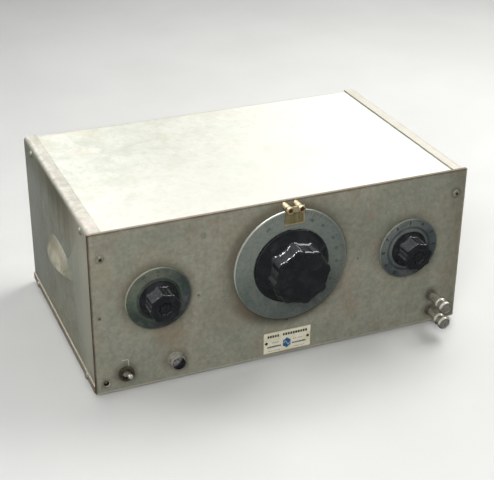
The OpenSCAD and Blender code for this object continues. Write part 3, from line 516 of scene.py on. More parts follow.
def tray_paint():
    """The bottom tray's painted lips: brownish faces, with painted light on what faces up and along
    the upper edge.
    """
    mat = Material("tray_paint", (138, 128, 106))
    blotches = mat.noise(20, detail=5, rough=0.66, warp=0.5)
    streak = mat.noise(6, detail=5, rough=0.66, warp=0.2, stretch=(14, 14, 3), offset=4)
    mat.coat(blotches.ramp(0.40, 0.62), (118, 106, 84))
    mat.coat(streak.ramp(0.46, 0.62, 0, 0.6), (150, 146, 128))
    # painted light: faces that look up and the lips' top edge are paler
    mat.coat(mat.geometry("Normal")[2].ramp(0.5, 0.8, 0, 0.9), (152, 148, 132))
    wander = (mat.noise(60, rough=0.7, offset=2) - 0.5) * 0.002
    drop = (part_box("bottom_tray")[1].z - mat.xyz()[2]) + wander
    mat.coat(drop.ramp(0.0, 0.0010, 0.6, 0), (158, 152, 134))
    mat.grain(1000, 0.3, 0.7, 0.25)
    spots = mat.spots(200, radius=0.09, patch=(18, 0.5, 0.6))
    mat.coat(spots * 0.6, (58, 48, 36))
    # painted shade: the tray seen through the corner hole is blacked out
    mat.coat(mat.from_axis(PANEL_HOLE).ramp(0.0062, 0.0070, 1, 0), PAINTED_HOLE_SHADE)
    mat.finish(Metallic=0.15, Roughness=blotches.ramp(0.3, 0.8, 0.5, 0.7))
    mat.bump(mat.noise(450, rough=0.6) - spots, strength=0.16)


# ------------------------------------------------------------------ mouldings, dials and metals
def bakelite(name, base=(0.0105, 0.0112, 0.0122), rough=0.11, dust_and_sheen=0.6, specular=0.42):
    mat = Material(name, base)
    swirl = mat.noise(55, detail=5, rough=0.6, warp=1.2)
    haze = mat.noise(120, detail=6, rough=0.7, warp=0.4, offset=9)
    brush = mat.noise(5, rough=0.6, warp=0.3, stretch=(60, 420, 60), offset=41)
    normal_x, normal_y, normal_z = mat.geometry("Normal")
    mat.coat(swirl.ramp(0.4, 0.7), tuple(v * 1.7 + 0.0012 for v in base))
    specks = mat.spots(360, radius=0.12, patch=(60, 0.55, 0.62), offset=4, detail=3)
    mat.coat(specks * (0.16 * dust_and_sheen), (0.20, 0.20, 0.19))
    # a dusty film lies on what faces up; a painted sheen is brushed along walls that face up and left
    upward = normal_z.ramp(0.2, 0.95)
    mat.coat(haze.ramp(0.45, 0.75) * upward * (0.10 * dust_and_sheen), (0.24, 0.24, 0.23))
    wall_sheen = (normal_z * 0.80 + normal_x * -0.60).ramp(0.55, 0.98) * normal_y.ramp(-0.62, -0.20)
    mat.coat(wall_sheen * brush.ramp(0.36, 0.66, 0.35, 1) * (0.42 * dust_and_sheen), (0.23, 0.24, 0.245))
    scratches = mat.scratches((30, 240, 90), line=(0.72, 0.76), patch=(90, 0.50),
                              scale=4.0, warp=0.3, offset=17, patch_offset=31)
    mat.coat(scratches * 0.10, (0.25, 0.25, 0.24))
    marks = mat.math("MAXIMUM", specks, scratches)
    mat.finish(Roughness=haze.ramp(0.30, 0.85, rough, rough + 0.14) + marks * 0.3,
               Specular_IOR_Level=specular)
    height = mat.noise(240, rough=0.6, offset=2) * 0.5
    height = height + mat.noise(60, detail=3, rough=0.6, offset=3) * 1.5
    mat.bump(height + specks * 0.5, strength=0.045)


def dial_metal(name, centre, radius, painted_shading, blots, rim, rim_width, mottle, lit,
               bands=(), metallic=0.3):
    """Etched dial disc.

    painted_shading: painted light and shade on the upper left, left, right and bottom of its brushed
    face, which stay put as it turns.
    blots: (colour, strength, where); where is None or a direction x, z and the ramp's start.
    bands: (inner radius, outer radius, colour, strength) of rings on the face.
    lit: how brightly the turned rim catches the light.
    """
    upper_left, left, right, bottom = painted_shading
    mat = Material(name, left)
    from_centre = mat.from_axis(centre)
    x, _, z = mat.geometry("Position")
    across, rise = x - centre.x, z - centre.z
    span = mat.length(across, rise) + 1e-5
    toward_x, toward_z = across / span, rise / span
    mat.coat(toward_x.ramp(-0.75, 0.75), right)
    lean = toward_z * 0.85 + toward_x * -0.53
    mat.coat(lean.ramp(-0.1, 0.95), upper_left)
    mat.coat(toward_z.ramp(-0.05, -0.95), bottom)
    for i, (color, strength, where) in enumerate(blots):
        blot = mat.noise(46 + 13 * i, detail=6, rough=0.68, warp=0.9, offset=5 + 3 * i)
        mask = blot.ramp(0.47, 0.63, 0, strength)
        if where:
            along_x, along_z, start = where
            mask = mask * (toward_x * along_x + toward_z * along_z).ramp(start, 0.95)
        mat.coat(mask, color)
    dark = mat.mix(0.55, mat.color, (0.012, 0.014, 0.014))
    cloud = mat.noise(30, detail=5, rough=0.65, warp=0.6)
    grit = mat.noise(260, detail=5, rough=0.7, warp=0.3, offset=3)
    fine = mat.noise(1300, detail=3, rough=0.6)
    mat.coat(cloud.ramp(0.35, 0.70, 0, mottle), dark)
    mat.coat(grit.ramp(0.44, 0.66, 0, 0.34), dark)
    mat.coat(fine.ramp(0.3, 0.7, 0, 0.22), dark)
    for inner, outer, color, strength in bands:
        band = from_centre.ramp(inner - 0.0005, inner + 0.0002)
        band = band * from_centre.ramp(outer, outer + 0.0008, 1, 0)
        band = band * mat.noise(90, rough=0.7, offset=13).ramp(0.30, 0.55, 0.45, 1)
        mat.coat(band * strength, color)
    # concentric polishing
    polish = mat.signal("ShaderNodeTexNoise", {"W": from_centre * 2600, "Detail": 3}, "Fac",
                        noise_dimensions="1D")
    mat.coat(polish.ramp(0.35, 0.7, 0, 0.16), dark)
    scratches = mat.scratches((7, 7, 250), line=(0.72, 0.76), patch=(30, 0.5), scale=3.2,
                              offset=21, patch_offset=31)
    mat.coat(scratches * 0.30, rim)
    # the turned rim only catches the light at the upper left
    edge = from_centre.ramp(radius - rim_width - 0.0003, radius - rim_width)
    glint = lean.ramp(-0.15, 0.75) * toward_x.ramp(0.55, -0.15)
    mat.coat(edge * glint.ramp(0, 1, 0.12, lit), rim)
    mat.finish(Metallic=metallic, Roughness=grit.ramp(0.3, 0.8, 0.44, 0.62))
    mat.bump(polish * 0.6 + mat.noise(700, rough=0.6, offset=2), strength=0.10, distance=0.0003)


def metal(name, color, dark, rough=0.3, scale=160, metallic=1.0, tarnish=0.5):
    mat = Material(name, color)
    small = mat.noise(scale, detail=5, rough=0.62, warp=0.4)
    broad = mat.noise(scale * 0.25, rough=0.6, warp=0.8, offset=6)
    mat.coat(small.ramp(0.42, 0.72, 0, tarnish), dark)
    mat.coat(broad.ramp(0.5, 0.7, 0, tarnish * 0.7), dark)
    spots = mat.spots(scale * 4, radius=0.1, patch=(scale, 0.52, 0.6), offset=8)
    mat.coat(spots * (0.6 * tarnish), scaled(dark, 0.35))
    mat.finish(Metallic=metallic, Roughness=small.ramp(0.3, 0.8, rough, rough + 0.22))
    height = mat.noise(scale * 5, rough=0.6, offset=2) - spots * 0.4
    mat.bump(height, strength=0.12, distance=0.0003)


def plastic(name, color, second, rough=0.45, scale=90, bump=0.12):
    mat = Material(name, color)
    cloud = mat.noise(scale, detail=5, rough=0.6, warp=0.6)
    fine = mat.noise(scale * 10, detail=3, rough=0.6, offset=4)
    mat.coat(cloud.ramp(0.36, 0.68), second)
    mat.coat(fine.ramp(0.35, 0.7, 0, 0.25), scaled(color, 0.5))
    mat.finish(Roughness=cloud.ramp(0.3, 0.8, rough, rough + 0.18))
    mat.bump(fine + cloud * 0.6, strength=bump)


def glass():
    tint = (0.82, 0.86, 0.86)
    mat = Material("glass", tint)
    cloud = mat.noise(80, rough=0.6, warp=0.5)
    mat.coat(cloud.ramp(0.4, 0.7), scaled(tint, 0.82))
    mat.finish(Roughness=cloud.ramp(0.3, 0.8, 0.05, 0.11), Alpha=0.35, IOR=1.5,
               Specular_IOR_Level=0.7)
    mat.bump(mat.noise(30, detail=2, rough=0.5), strength=0.03, distance=0.001)


def amber_plate():
    low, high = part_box("index_plate")
    mat = Material("amber_plate", (140, 126, 88))
    cloud = mat.noise(260, detail=5, rough=0.65, warp=0.8, stretch=(1, 1, 0.5))
    streak = mat.noise(3, detail=3, rough=0.5, warp=0.2, stretch=(420, 420, 16), offset=3)
    mat.coat(cloud.ramp(0.38, 0.66), (106, 99, 66))
    mat.coat(streak.ramp(0.46, 0.66, 0, 0.6), (84, 86, 56))
    x, _, z = mat.xyz()
    edge = mat.least([z - low.z, high.x - x])
    mat.coat(edge.ramp(0.0002, 0.0012, 0.7, 0), (198, 172, 134))
    alpha = (cloud + edge.ramp(0.0, 0.0016, 0.5, 0)).ramp(0.3, 0.8, 0.46, 0.82)
    mat.finish(Roughness=0.24, Alpha=alpha, Coat_Weight=0.3)
    mat.bump(cloud, strength=0.08, distance=0.0003)


def jewel():
    """Dark pilot jewel with a painted reflection speckled over its upper left."""
    mat = Material("jewel", (0.008, 0.008, 0.013))
    cloud = mat.noise(200, rough=0.6, warp=0.4)
    reflection_speckle = mat.noise(620, rough=0.7, warp=0.5, offset=6)
    x, _, z = mat.xyz()
    centre = box_centre("pilot_jewel")
    lean = (x - centre.x) * -0.62 + (z - centre.z) * 0.78
    mat.coat(cloud.ramp(0.4, 0.7), (0.020, 0.021, 0.030))
    mat.coat(lean.ramp(0.0014, 0.0050) * reflection_speckle.ramp(0.40, 0.62, 0.10, 0.75), (138, 138, 128))
    mat.finish(Roughness=cloud.ramp(0.3, 0.8, 0.14, 0.30), Coat_Weight=0.35,
               Specular_IOR_Level=0.6)
    mat.bump(mat.noise(500, detail=3, rough=0.6, offset=2), strength=0.08, distance=0.0003)


def switch_metal():
    """Toggle bushing in front of the panel is plated, the case behind is moulded brown."""
    mat = Material("switch_case", (0.020, 0.013, 0.010))
    cloud = mat.noise(260, detail=5, rough=0.62, warp=0.4)
    front = (PANEL_LOW.y + 0.0033 - mat.xyz()[1]).ramp(0.0, 0.0004)
    mat.coat(cloud.ramp(0.4, 0.7), (0.040, 0.026, 0.018))
    mat.coat(front, mat.mix(cloud.ramp(0.42, 0.70), (128, 125, 108), (62, 59, 47)))
    mat.finish(Metallic=front.ramp(0, 1, 0, 0.8), Roughness=cloud.ramp(0.3, 0.8, 0.34, 0.55))
    mat.bump(mat.noise(1300, detail=3, rough=0.6, offset=2), strength=0.12, distance=0.0003)


def post_metal():
    """Nickelled terminals: painted highlights on the turned rims, painted shade in the recessed ends,
    beneath and near the panel.
    """
    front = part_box("post_cap_upper")[0].y
    mat = Material("nickel_post", (226, 224, 212))
    x, y, z = mat.xyz()
    small = mat.noise(200, detail=5, rough=0.62, warp=0.4)
    broad = mat.noise(60, rough=0.6, warp=0.8, offset=6)
    mat.coat(small.ramp(0.42, 0.72, 0, 0.45), (150, 145, 130))
    mat.coat(broad.ramp(0.5, 0.7, 0, 0.45), (122, 112, 92))
    radius = mat.least([mat.from_axis(post) for post in POSTS])
    normal_x, normal_y, normal_z = mat.geometry("Normal")
    # painted shade in the recessed end faces
    face = normal_y.ramp(-0.80, -0.95) * (y - front).ramp(0.0004, 0.0008, 0, 1)
    face = face * (y - front).ramp(0.0030, 0.0034, 1, 0)
    face = face * radius.ramp(0.0056, 0.0052)
    mat.coat(face * 0.85, mat.mix(small.ramp(0.4, 0.7), (52, 49, 40), (26, 24, 19)))
    # painted shade on the undersides
    under = normal_z.ramp(0.10, -0.75)
    mat.coat(under * 0.72, mat.mix(small.ramp(0.4, 0.7), (82, 76, 62), (54, 47, 38)))
    # the turned ridges catch light from the upper left
    back = y - front
    ridge = back.ramp(0.0030, 0.0024) + back.ramp(0.0088, 0.0094) * back.ramp(0.0126, 0.0120)
    catch = (normal_z * 0.85 + normal_x * -0.5).ramp(0.12, 0.75)
    catch = catch * ridge * radius.ramp(0.0053, 0.0060)
    mat.coat(catch * 0.60, (218, 215, 202))
    # painted shade close to the panel
    mat.coat((PANEL_LOW.y - y).ramp(0.0062, 0.0022) * 0.45, (96, 80, 66))
    mat.finish(Metallic=face.ramp(0, 1, 0.90, 0.5) - catch * 0.65,
               Roughness=small.ramp(0.3, 0.8, 0.24, 0.42))
    mat.bump(mat.noise(1000, rough=0.6, offset=2), strength=0.12, distance=0.0003)


def panel_screw_metal():
    """Plated heads with dirt packed into the middle and the slot."""
    mat = Material("plated_screw", (156, 157, 140))
    small = mat.noise(420, detail=5, rough=0.62, warp=0.4)
    mat.coat(small.ramp(0.42, 0.70, 0, 0.8), (84, 82, 66))
    radius = mat.least([mat.from_axis(screw) for screw in PANEL_SCREWS])
    radius = radius + (small - 0.5) * 0.0012
    mat.coat(radius.ramp(0.0012, 0.0021, 0.88, 0), (0.010, 0.009, 0.007))
    mat.finish(Metallic=0.35, Roughness=small.ramp(0.3, 0.8, 0.42, 0.62))
    mat.bump(mat.noise(1500, rough=0.6, offset=2), strength=0.15, distance=0.0003)


def plate_cream():
    low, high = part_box("nameplate")
    mat = Material("plate_cream", (214, 211, 192))
    cloud = mat.noise(60, detail=5, rough=0.65, warp=0.6)
    stain = mat.noise(130, rough=0.7, warp=0.5, offset=4)
    mat.coat(cloud.ramp(0.36, 0.66), (200, 194, 170))
    mat.coat(stain.ramp(0.56, 0.72, 0, 0.5), (160, 142, 104))
    edge = mat.from_edge(low, high, (0, 2)) + (stain - 0.5) * 0.0016
    mat.coat(edge.ramp(0.0001, 0.0009, 0.8, 0), (128, 116, 88))
    mat.finish(Roughness=cloud.ramp(0.3, 0.8, 0.38, 0.55))
    mat.bump(mat.noise(900, detail=3, rough=0.6), strength=0.08, distance=0.0002)


def cord_braid():
    mat = Material("cord_braid", (46, 40, 34))
    weave = mat.signal("ShaderNodeTexWave",
                       {"Vector": mat.coords, "Scale": 420, "Distortion": 1.2}, "Fac",
                       wave_type="BANDS", bands_direction="DIAGONAL")
    mat.coat(weave, (84, 72, 56))
    mat.coat(mat.noise(300, rough=0.6).ramp(0.4, 0.7, 0, 0.5), (40, 34, 28))
    mat.finish(Roughness=0.85)
    mat.bump(weave, strength=0.6)


panel_paint()
cabinet_paint()
top_paint()
rear_paint()
bakelite("black_knob")
bakelite("black_knob_small", dust_and_sheen=0.95)
dial_metal(
    "dial_face", MAIN_CENTRE, MAIN_RADIUS,
    painted_shading=((148, 156, 147), (114, 124, 115), (138, 147, 140), (122, 130, 126)),
    blots=(((104, 126, 116), 0.5, (-0.8, -0.6, 0.1)), ((150, 152, 144), 0.35, None)),
    rim=(206, 209, 200), rim_width=0.0006, mottle=0.25, lit=0.85, metallic=0.45)
dial_metal(
    "range_dial_face", LEFT_CENTRE, SMALL_RADIUS,
    painted_shading=((120, 126, 111), (74, 88, 74), (72, 76, 77), (72, 77, 74)),
    blots=(((52, 92, 68), 0.8, (-0.98, -0.2, 0.0)), ((60, 92, 72), 0.6, (0.6, 0.8, 0.2)),
           ((120, 124, 118), 0.4, None)),
    rim=(206, 208, 186), rim_width=0.0006, mottle=0.6, lit=0.45,
    bands=((0.0190, 0.0222, (28, 30, 32), 0.55), (0.0232, 0.0246, (116, 122, 116), 0.16)))
dial_metal(
    "level_dial_face", RIGHT_CENTRE, SMALL_RADIUS,
    painted_shading=((130, 136, 132), (98, 106, 106), (88, 94, 96), (76, 82, 84)),
    blots=(((70, 92, 86), 0.45, None), ((128, 132, 128), 0.4, None)),
    rim=(196, 198, 184), rim_width=0.0005, mottle=0.5, lit=0.3,
    bands=((0.0230, 0.0248, (34, 38, 40), 0.6), (0.0208, 0.0224, (132, 138, 140), 0.16)))
metal("bright_aluminium", (150, 154, 150), (92, 96, 92), rough=0.42, tarnish=0.6)
metal("bare_aluminium", (190, 190, 184), (150, 150, 142), rough=0.38, tarnish=0.4)
metal("brass", (206, 176, 112), (120, 94, 52), scale=220, tarnish=0.6)
metal("pale_brass", (176, 164, 130), (112, 92, 66), rough=0.42, scale=330, tarnish=0.8,
      metallic=0.4)
metal("nickel", (196, 193, 180), (112, 106, 92), rough=0.26, scale=200)
metal("bezel_nickel", (162, 160, 150), (98, 94, 84), rough=0.5, scale=420, tarnish=0.8,
      metallic=0.3)
switch_metal()
post_metal()
metal("lever_nickel", (214, 211, 198), (150, 144, 128), scale=300, tarnish=0.6, metallic=0.6)
metal("nut_nickel", (118, 115, 97), (60, 57, 45), rough=0.42, scale=320, tarnish=0.7,
      metallic=0.7)
panel_screw_metal()
metal("rubbed_screw", (136, 136, 120), (60, 58, 46), rough=0.5, scale=420, tarnish=0.9,
      metallic=0.35)
tray_paint()
metal("steel", (150, 146, 130), (84, 76, 60), rough=0.38, scale=260, tarnish=0.7)
metal("brass_screw", (112, 76, 52), (66, 42, 28), rough=0.42, scale=320, tarnish=0.7,
      metallic=0.6)
metal("dark_steel", (70, 64, 54), (34, 30, 26), rough=0.42, scale=260, tarnish=0.7,
      metallic=0.85)
bakelite("brown_bakelite", base=(0.020, 0.013, 0.010), rough=0.24, specular=0.5)
plastic("phenolic", (112, 74, 40), (84, 54, 28), rough=0.5)
plastic("rubber", (0.022, 0.021, 0.020), (0.034, 0.032, 0.030), rough=0.72, scale=140, bump=0.3)
plastic("ceramic", (224, 220, 206), (206, 200, 182), rough=0.22, scale=60, bump=0.05)
plastic("black_enamel", (0.02, 0.02, 0.02), (0.035, 0.034, 0.033), rough=0.4, scale=700, bump=0.6)
glass()
amber_plate()
jewel()
plate_cream()
cord_braid()
plastic("black_ink", (0.014, 0.014, 0.014), (0.03, 0.03, 0.028), rough=0.5, scale=900, bump=0.1)
plastic("engraved_fill", (62, 68, 62), (50, 55, 50), rough=0.55, scale=900, bump=0.1)
plastic("blue_ink", (28, 84, 128), (40, 100, 146), rough=0.4, scale=300, bump=0.1)
plastic("pale_mark", (196, 194, 178), (178, 174, 156), rough=0.5, scale=300, bump=0.1)

# ------------------------------------------------------------------ dressing the CAD pieces
LOOKS = {
    "panel_paint": "front_panel",
    "cabinet_paint": "end_plate_left end_plate_right",
    "top_paint": "top_cover",
    "rear_paint": "rear_cover",
    "tray_paint": "bottom_tray",
    "rubber": "feet cord_grommet",
    "plated_screw": "panel_screws",
    "rubbed_screw": "cabinet_screws",
    "dial_face": "main_dial",
    "range_dial_face": "range_dial",
    "level_dial_face": "level_dial",
    "bright_aluminium": "dial_plate",
    "black_knob": "tuning_knob range_knob level_knob",
    "steel": "tuning_shaft range_shaft range_switch_frame level_shaft",
    "brass": "tuning_bushing shaft_coupling pilot_socket",
    "nickel": "panel_nuts",
    "phenolic": "coupling_disc range_wafers component_board",
    "bare_aluminium": "capacitor_frame capacitor_stators capacitor_rotor chassis filter_cans",
    "ceramic": "capacitor_insulators",
    "pale_brass": "index_pillars index_bracket",
    "amber_plate": "index_plate",
    "brass_screw": "index_screws",
    "brown_bakelite": "level_pot tube_bases mains_plug",
    "switch_case": "toggle_body",
    "nut_nickel": "toggle_nut",
    "lever_nickel": "toggle_lever",
    "bezel_nickel": "pilot_bezel",
    "jewel": "pilot_jewel",
    "glass": "pilot_bulb tube_glass stabiliser_lamp",
    "nickel_post": "post_studs post_bases post_washer_upper post_washer_lower "
                   "post_cap_upper post_cap_lower",
    "plate_cream": "nameplate",
    "dark_steel": "nameplate_rivets",
    "black_enamel": "power_transformer output_transformer",
    "cord_braid": "power_cord",
}
# edge rounding in mm
BEVELS = {"power_transformer": 0.8, "output_transformer": 0.6, "mains_plug": 0.3,
          "toggle_nut": 0.2}


def dress(node, material):
    item = NODES[node]
    item.data.materials.clear()
    item.data.materials.append(MATERIALS[material])
    for polygon in item.data.polygons:
        polygon.use_smooth = True
        polygon.material_index = 0
    weld = item.modifiers.new("weld", "WELD")
    weld.merge_threshold = 2e-6
    if node in BEVELS:
        bevel = item.modifiers.new("bevel", "BEVEL")
        bevel.width = BEVELS[node] / 1000
        bevel.segments = 2
        bevel.limit_method = "ANGLE"
        bevel.angle_limit = math.radians(38)
        bevel.use_clamp_overlap = True
        bevel.harden_normals = False
    split = item.modifiers.new("split", "EDGE_SPLIT")
    split.split_angle = math.radians(34)
    split.use_edge_sharp = False


for material, nodes in LOOKS.items():
    for node in nodes.split():
        dress(node, material)


# ------------------------------------------------------------------ mesh helpers
def add(name, mesh, material, body, smooth=False):
    data = bpy.data.meshes.new(name)
    bmesh.ops.recalc_face_normals(mesh, faces=mesh.faces)
    mesh.to_mesh(data)
    mesh.free()
    data.materials.append(MATERIALS[material])
    if smooth:
        for polygon in data.polygons:
            polygon.use_smooth = True
    item = link_object(name, data)
    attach(item, body)
    return item


def block(mesh, width, depth, height, matrix):
    """A little slab, sizes in metres, placed by a matrix."""
    bmesh.ops.create_cube(mesh, size=1, matrix=matrix @ Matrix.Diagonal((width, depth, height, 1)))


def radial(centre, y, radius, angle):
    """Frame on a dial face at a clockwise angle: Z points out along the radius, -Y to the front."""
    place = (centre.x + radius * math.sin(angle), y, centre.z + radius * math.cos(angle))
    return Matrix.Translation(place) @ Matrix.Rotation(angle, 4, "Y")


def text(mesh, body, size, matrix, squeeze, bold=0.0):
    """Centred lettering, narrowed by squeeze and thickened by bold."""
    curve = bpy.data.curves.new("t", "FONT")
    curve.body = body
    curve.size = size
    curve.extrude = 0.00004
    curve.offset = bold
    curve.align_x = "CENTER"
    curve.align_y = "CENTER"
    curve.resolution_u = 3
    item = link_object("t", curve)
    bpy.context.view_layer.update()
    evaluated = item.evaluated_get(bpy.context.evaluated_depsgraph_get())
    data = bpy.data.meshes.new_from_object(evaluated)
    upright = Matrix.Rotation(math.pi / 2, 4, "X")
    data.transform(matrix @ upright @ Matrix.Diagonal((squeeze, 1, 1, 1)))
    mesh.from_mesh(data)
    bpy.data.objects.remove(item)
    bpy.data.curves.remove(curve)
    bpy.data.meshes.remove(data)


# ------------------------------------------------------------------ knobs
# mm; heights are taken forward from the panel's face
LARGE_KNOB = dict(
    skirt_radius=40, grip_radius=30.9, base=12, skirt_top=14.2, cone_top=25.5, top=40.4,
    fillet=4.0, blend=2.6, dish=0.55, rings=(), material="black_knob")
SMALL_KNOB = dict(
    skirt_radius=20, grip_radius=16, base=5, skirt_top=6.6, cone_top=12.5, top=27,
    fillet=2.4, blend=1.5, dish=0.3, material="black_knob_small",
    # turned rings on the end face: radius, depth below the dish
    rings=((6.6, 0.06), (6.1, 0.10), (5.8, 0.34), (5.3, 0.42), (4.9, 0.40), (4.5, 0.16),
           (4.0, 0.10)))
KNOB_SEGMENTS = 320
LOBES = 8
LOBE_TURN = 9.5  # degrees


def smooth_max(one, other, width):
    overlap = max(width - abs(one - other), 0) / width
    return max(one, other) + overlap * overlap * width / 4


def lobed_outline(grip_radius):
    """Grip radius at each segment: round lobes blended into a slightly smaller circle."""
    pitch = 360 / LOBES
    outline = []
    for i in range(KNOB_SEGMENTS):
        turn = math.degrees(2 * math.pi * i / KNOB_SEGMENTS) + LOBE_TURN
        offset = math.radians((turn + pitch / 2) % pitch - pitch / 2)
        side = 0.8 * math.sin(offset)
        lobe = 0.0
        if abs(side) < 0.2:
            lobe = 0.8 * math.cos(offset) + math.sqrt(0.04 - side * side)
        outline.append(grip_radius * smooth_max(lobe, 0.915, 0.075))
    return outline


def knob_rows(skirt_radius, grip_radius, base, skirt_top, cone_top, top, fillet, blend, dish,
              rings):
    """Rows of the knob's surface from the panel outwards: radii round the row, height."""
    shoulder = skirt_radius - 0.9
    waist = grip_radius * 0.90

    def cone(height):
        if height < cone_top:
            part = (height - skirt_top) / (cone_top - skirt_top)
            return waist + (shoulder - waist) * (1 - part) ** 1.2
        return grip_radius * (0.90 - 0.02 * (height - cone_top))

    def circle(radius, height):
        return [radius] * KNOB_SEGMENTS, height

    # skirt: radius inset, height
    rows = [circle(skirt_radius - inset, height) for inset, height in (
        (1.2, base + 0.02), (0.35, base + 0.12), (0, base + 0.6), (0, skirt_top - 0.7),
        (0.12, skirt_top - 0.35), (0.45, skirt_top - 0.1), (0.9, skirt_top))]
    # cone running into the lobed grip
    outline = lobed_outline(grip_radius)
    steps = 30
    for i in range(1, steps + 1):
        height = skirt_top + (top - fillet - skirt_top) * i / steps
        rows.append(([smooth_max(cone(height), edge, blend) for edge in outline], height))
    # rounded front edge
    last = rows[-1][0]
    for i in range(1, 11):
        angle = math.pi / 2 * i / 10
        rows.append(([edge - fillet * (1 - math.cos(angle)) for edge in last],
                     top - fillet + fillet * math.sin(angle)))
    # step down into the dished end face: inset, drop
    last = rows[-1][0]
    for inset, drop in ((0.7, 0), (1.0, 0.04), (1.5, dish * 0.55), (1.9, dish * 0.95),
                        (2.5, dish)):
        rows.append(([edge - inset for edge in last], top - drop))
    last = rows[-1][0]
    for scale in (0.90, 0.75, 0.55):
        rows.append(([edge * scale for edge in last], top - dish - 0.05 * (1 - scale)))
    rows += [circle(radius, top - dish - depth) for radius, depth in rings]
    rows.append(circle(min(last) * 0.06, top - dish - (rings[-1][1] if rings else 0.05)))
    return rows


def knob(body, centre, material, **shape):
    """Moulded eight-lobed knob on a conical skirt, turned about a panel normal through centre."""
    rows = knob_rows(**shape)
    count = KNOB_SEGMENTS
    angles = [2 * math.pi * i / count for i in range(count)]
    mesh = bmesh.new()
    grid = [[mesh.verts.new((centre.x + radius / 1000 * math.sin(angle),
                             PANEL_LOW.y - height / 1000,
                             centre.z + radius / 1000 * math.cos(angle)))
             for radius, angle in zip(radii, angles)] for radii, height in rows]
    for lower, upper in zip(grid, grid[1:]):
        for i in range(count):
            following = (i + 1) % count
            mesh.faces.new((lower[i], lower[following], upper[following], upper[i]))
    for row, height in ((grid[0], rows[0][1]), (grid[-1], rows[-1][1])):
        middle = mesh.verts.new((centre.x, PANEL_LOW.y - height / 1000, centre.z))
        for i in range(count):
            mesh.faces.new((row[i], row[(i + 1) % count], middle))
    node = body + "_knob"
    item = add(node + "_moulding", mesh, material, body, smooth=True)
    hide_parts(node)


knob("tuning", MAIN_CENTRE, **LARGE_KNOB)
knob("range", LEFT_CENTRE, **SMALL_KNOB)
knob("level", RIGHT_CENTRE, **SMALL_KNOB)

# ------------------------------------------------------------------ dial scales
FILLING = 0.00006  # thickness of a scale mark


def dial_face(node):
    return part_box(node)[0].y - FILLING / 2


def main_scale():
    """Logarithmic scale from 20 to 200 over 180 degrees."""
    mesh = bmesh.new()
    face = dial_face("main_dial")

    def angle(value):
        return math.radians(-30 + 180 * math.log10(200 / value))

    for value in (*range(20, 50), *range(50, 100, 2), *range(100, 201, 5)):
        major = value % (10 if value < 100 else 20) == 0
        length = 0.0062 if major else (0.0046 if value % 5 == 0 else 0.0030)
        block(mesh, 0.00032 if major else 0.00024, FILLING, length,
              radial(MAIN_CENTRE, face, MAIN_RADIUS - 0.0014 - length / 2, angle(value)))
    for value in (20, 25, 30, 40, 50, 60, 80, 100, 150, 200):
        place = radial(MAIN_CENTRE, face, MAIN_RADIUS - 0.0104, angle(value))
        text(mesh, str(value), 0.0042, place, squeeze=0.9)
    add("main_dial_scale", mesh, "engraved_fill", "tuning")


def level_scale():
    """0 to 10 over 300 degrees, each division cut in five."""
    mesh = bmesh.new()
    face = dial_face("level_dial")
    for i in range(11):
        angle = math.radians(150 - 30 * i)
        text(mesh, str(i), 0.0050, radial(RIGHT_CENTRE, face, 0.0296, angle), squeeze=0.9,
             bold=0.00022)
        block(mesh, 0.0004, FILLING, 0.0022, radial(RIGHT_CENTRE, face, 0.0258, angle))
        if i < 10:
            for k in range(1, 5):
                block(mesh, 0.00025, FILLING, 0.0013,
                      radial(RIGHT_CENTRE, face, 0.0254, angle - math.radians(6 * k)))
    add("level_dial_scale", mesh, "black_ink", "level")


def range_scale():
    """Multipliers at the three stops."""
    mesh = bmesh.new()
    face = dial_face("range_dial")
    for i, label in enumerate(("100", "10", "1")):
        angle = math.radians(-30 + 30 * i)
        text(mesh, label, 0.0042, radial(LEFT_CENTRE, face, 0.0296, angle), squeeze=0.85)
        block(mesh, 0.0005, FILLING, 0.0026, radial(LEFT_CENTRE, face, 0.0254, angle))
    add("range_dial_scale", mesh, "black_ink", "range")


def index_hairlines():
    """One bold and two fine upright lines on the index plate."""
    mesh = bmesh.new()
    low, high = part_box("index_plate")
    middle = (low.x + high.x) / 2
    length = high.z - low.z - 0.0075
    for offset, width in ((0, 0.00035), (-0.0042, 0.0002), (0.0042, 0.0002)):
        place = (middle + offset, low.y - 0.00003, low.z + length / 2 + 0.0004)
        block(mesh, width, 0.00008, length, Matrix.Translation(place))
    add("index_hairlines", mesh, "engraved_fill", "cabinet")


main_scale()
level_scale()
range_scale()
index_hairlines()

# ------------------------------------------------------------------ nameplate and panel marks
PRINT_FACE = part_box("nameplate")[0].y - 0.00003
EMBLEM_CENTRE = point(205.1, 0, 13.0)
# rows of bars that stand for lettering, mm:
# left, right, height on the panel, count, bar height, filled share of the pitch, bars left out
LETTER_ROWS = (
    (182.8, 196.5, 23.7, 5, 3.1, 0.80, ()),
    (200.1, 228.5, 23.7, 10, 3.1, 0.80, ()),
    (188, 196, 16.0, 6, 0.7, 0.66, ()),
    (212, 223, 16.0, 8, 0.7, 0.66, (3,)),
    (183, 198.5, 11.2, 10, 1.9, 0.80, ()),
    (211, 227, 11.2, 10, 1.9, 0.80, ()),
    (184, 197.5, 6.5, 10, 0.7, 0.60, (4,)),
    (213, 225, 6.5, 9, 0.7, 0.60, (5,)),
)


def nameplate_bars():
    mesh = bmesh.new()
    for left, right, z, count, bar_height, fill, gaps in LETTER_ROWS:
        pitch = (right - left) / count
        for i in range(count):
            if i in gaps:
                continue
            share = fill * random.uniform(0.86, 1.0)
            height = bar_height * random.uniform(0.92, 1.0)
            place = point(left + (i + 0.5) * pitch, 0, z)
            block(mesh, pitch * share / 1000, 0.00007, height / 1000,
                  Matrix.Translation((place.x, PRINT_FACE, place.z)))
    add("nameplate_bars", mesh, "black_ink", "cabinet")


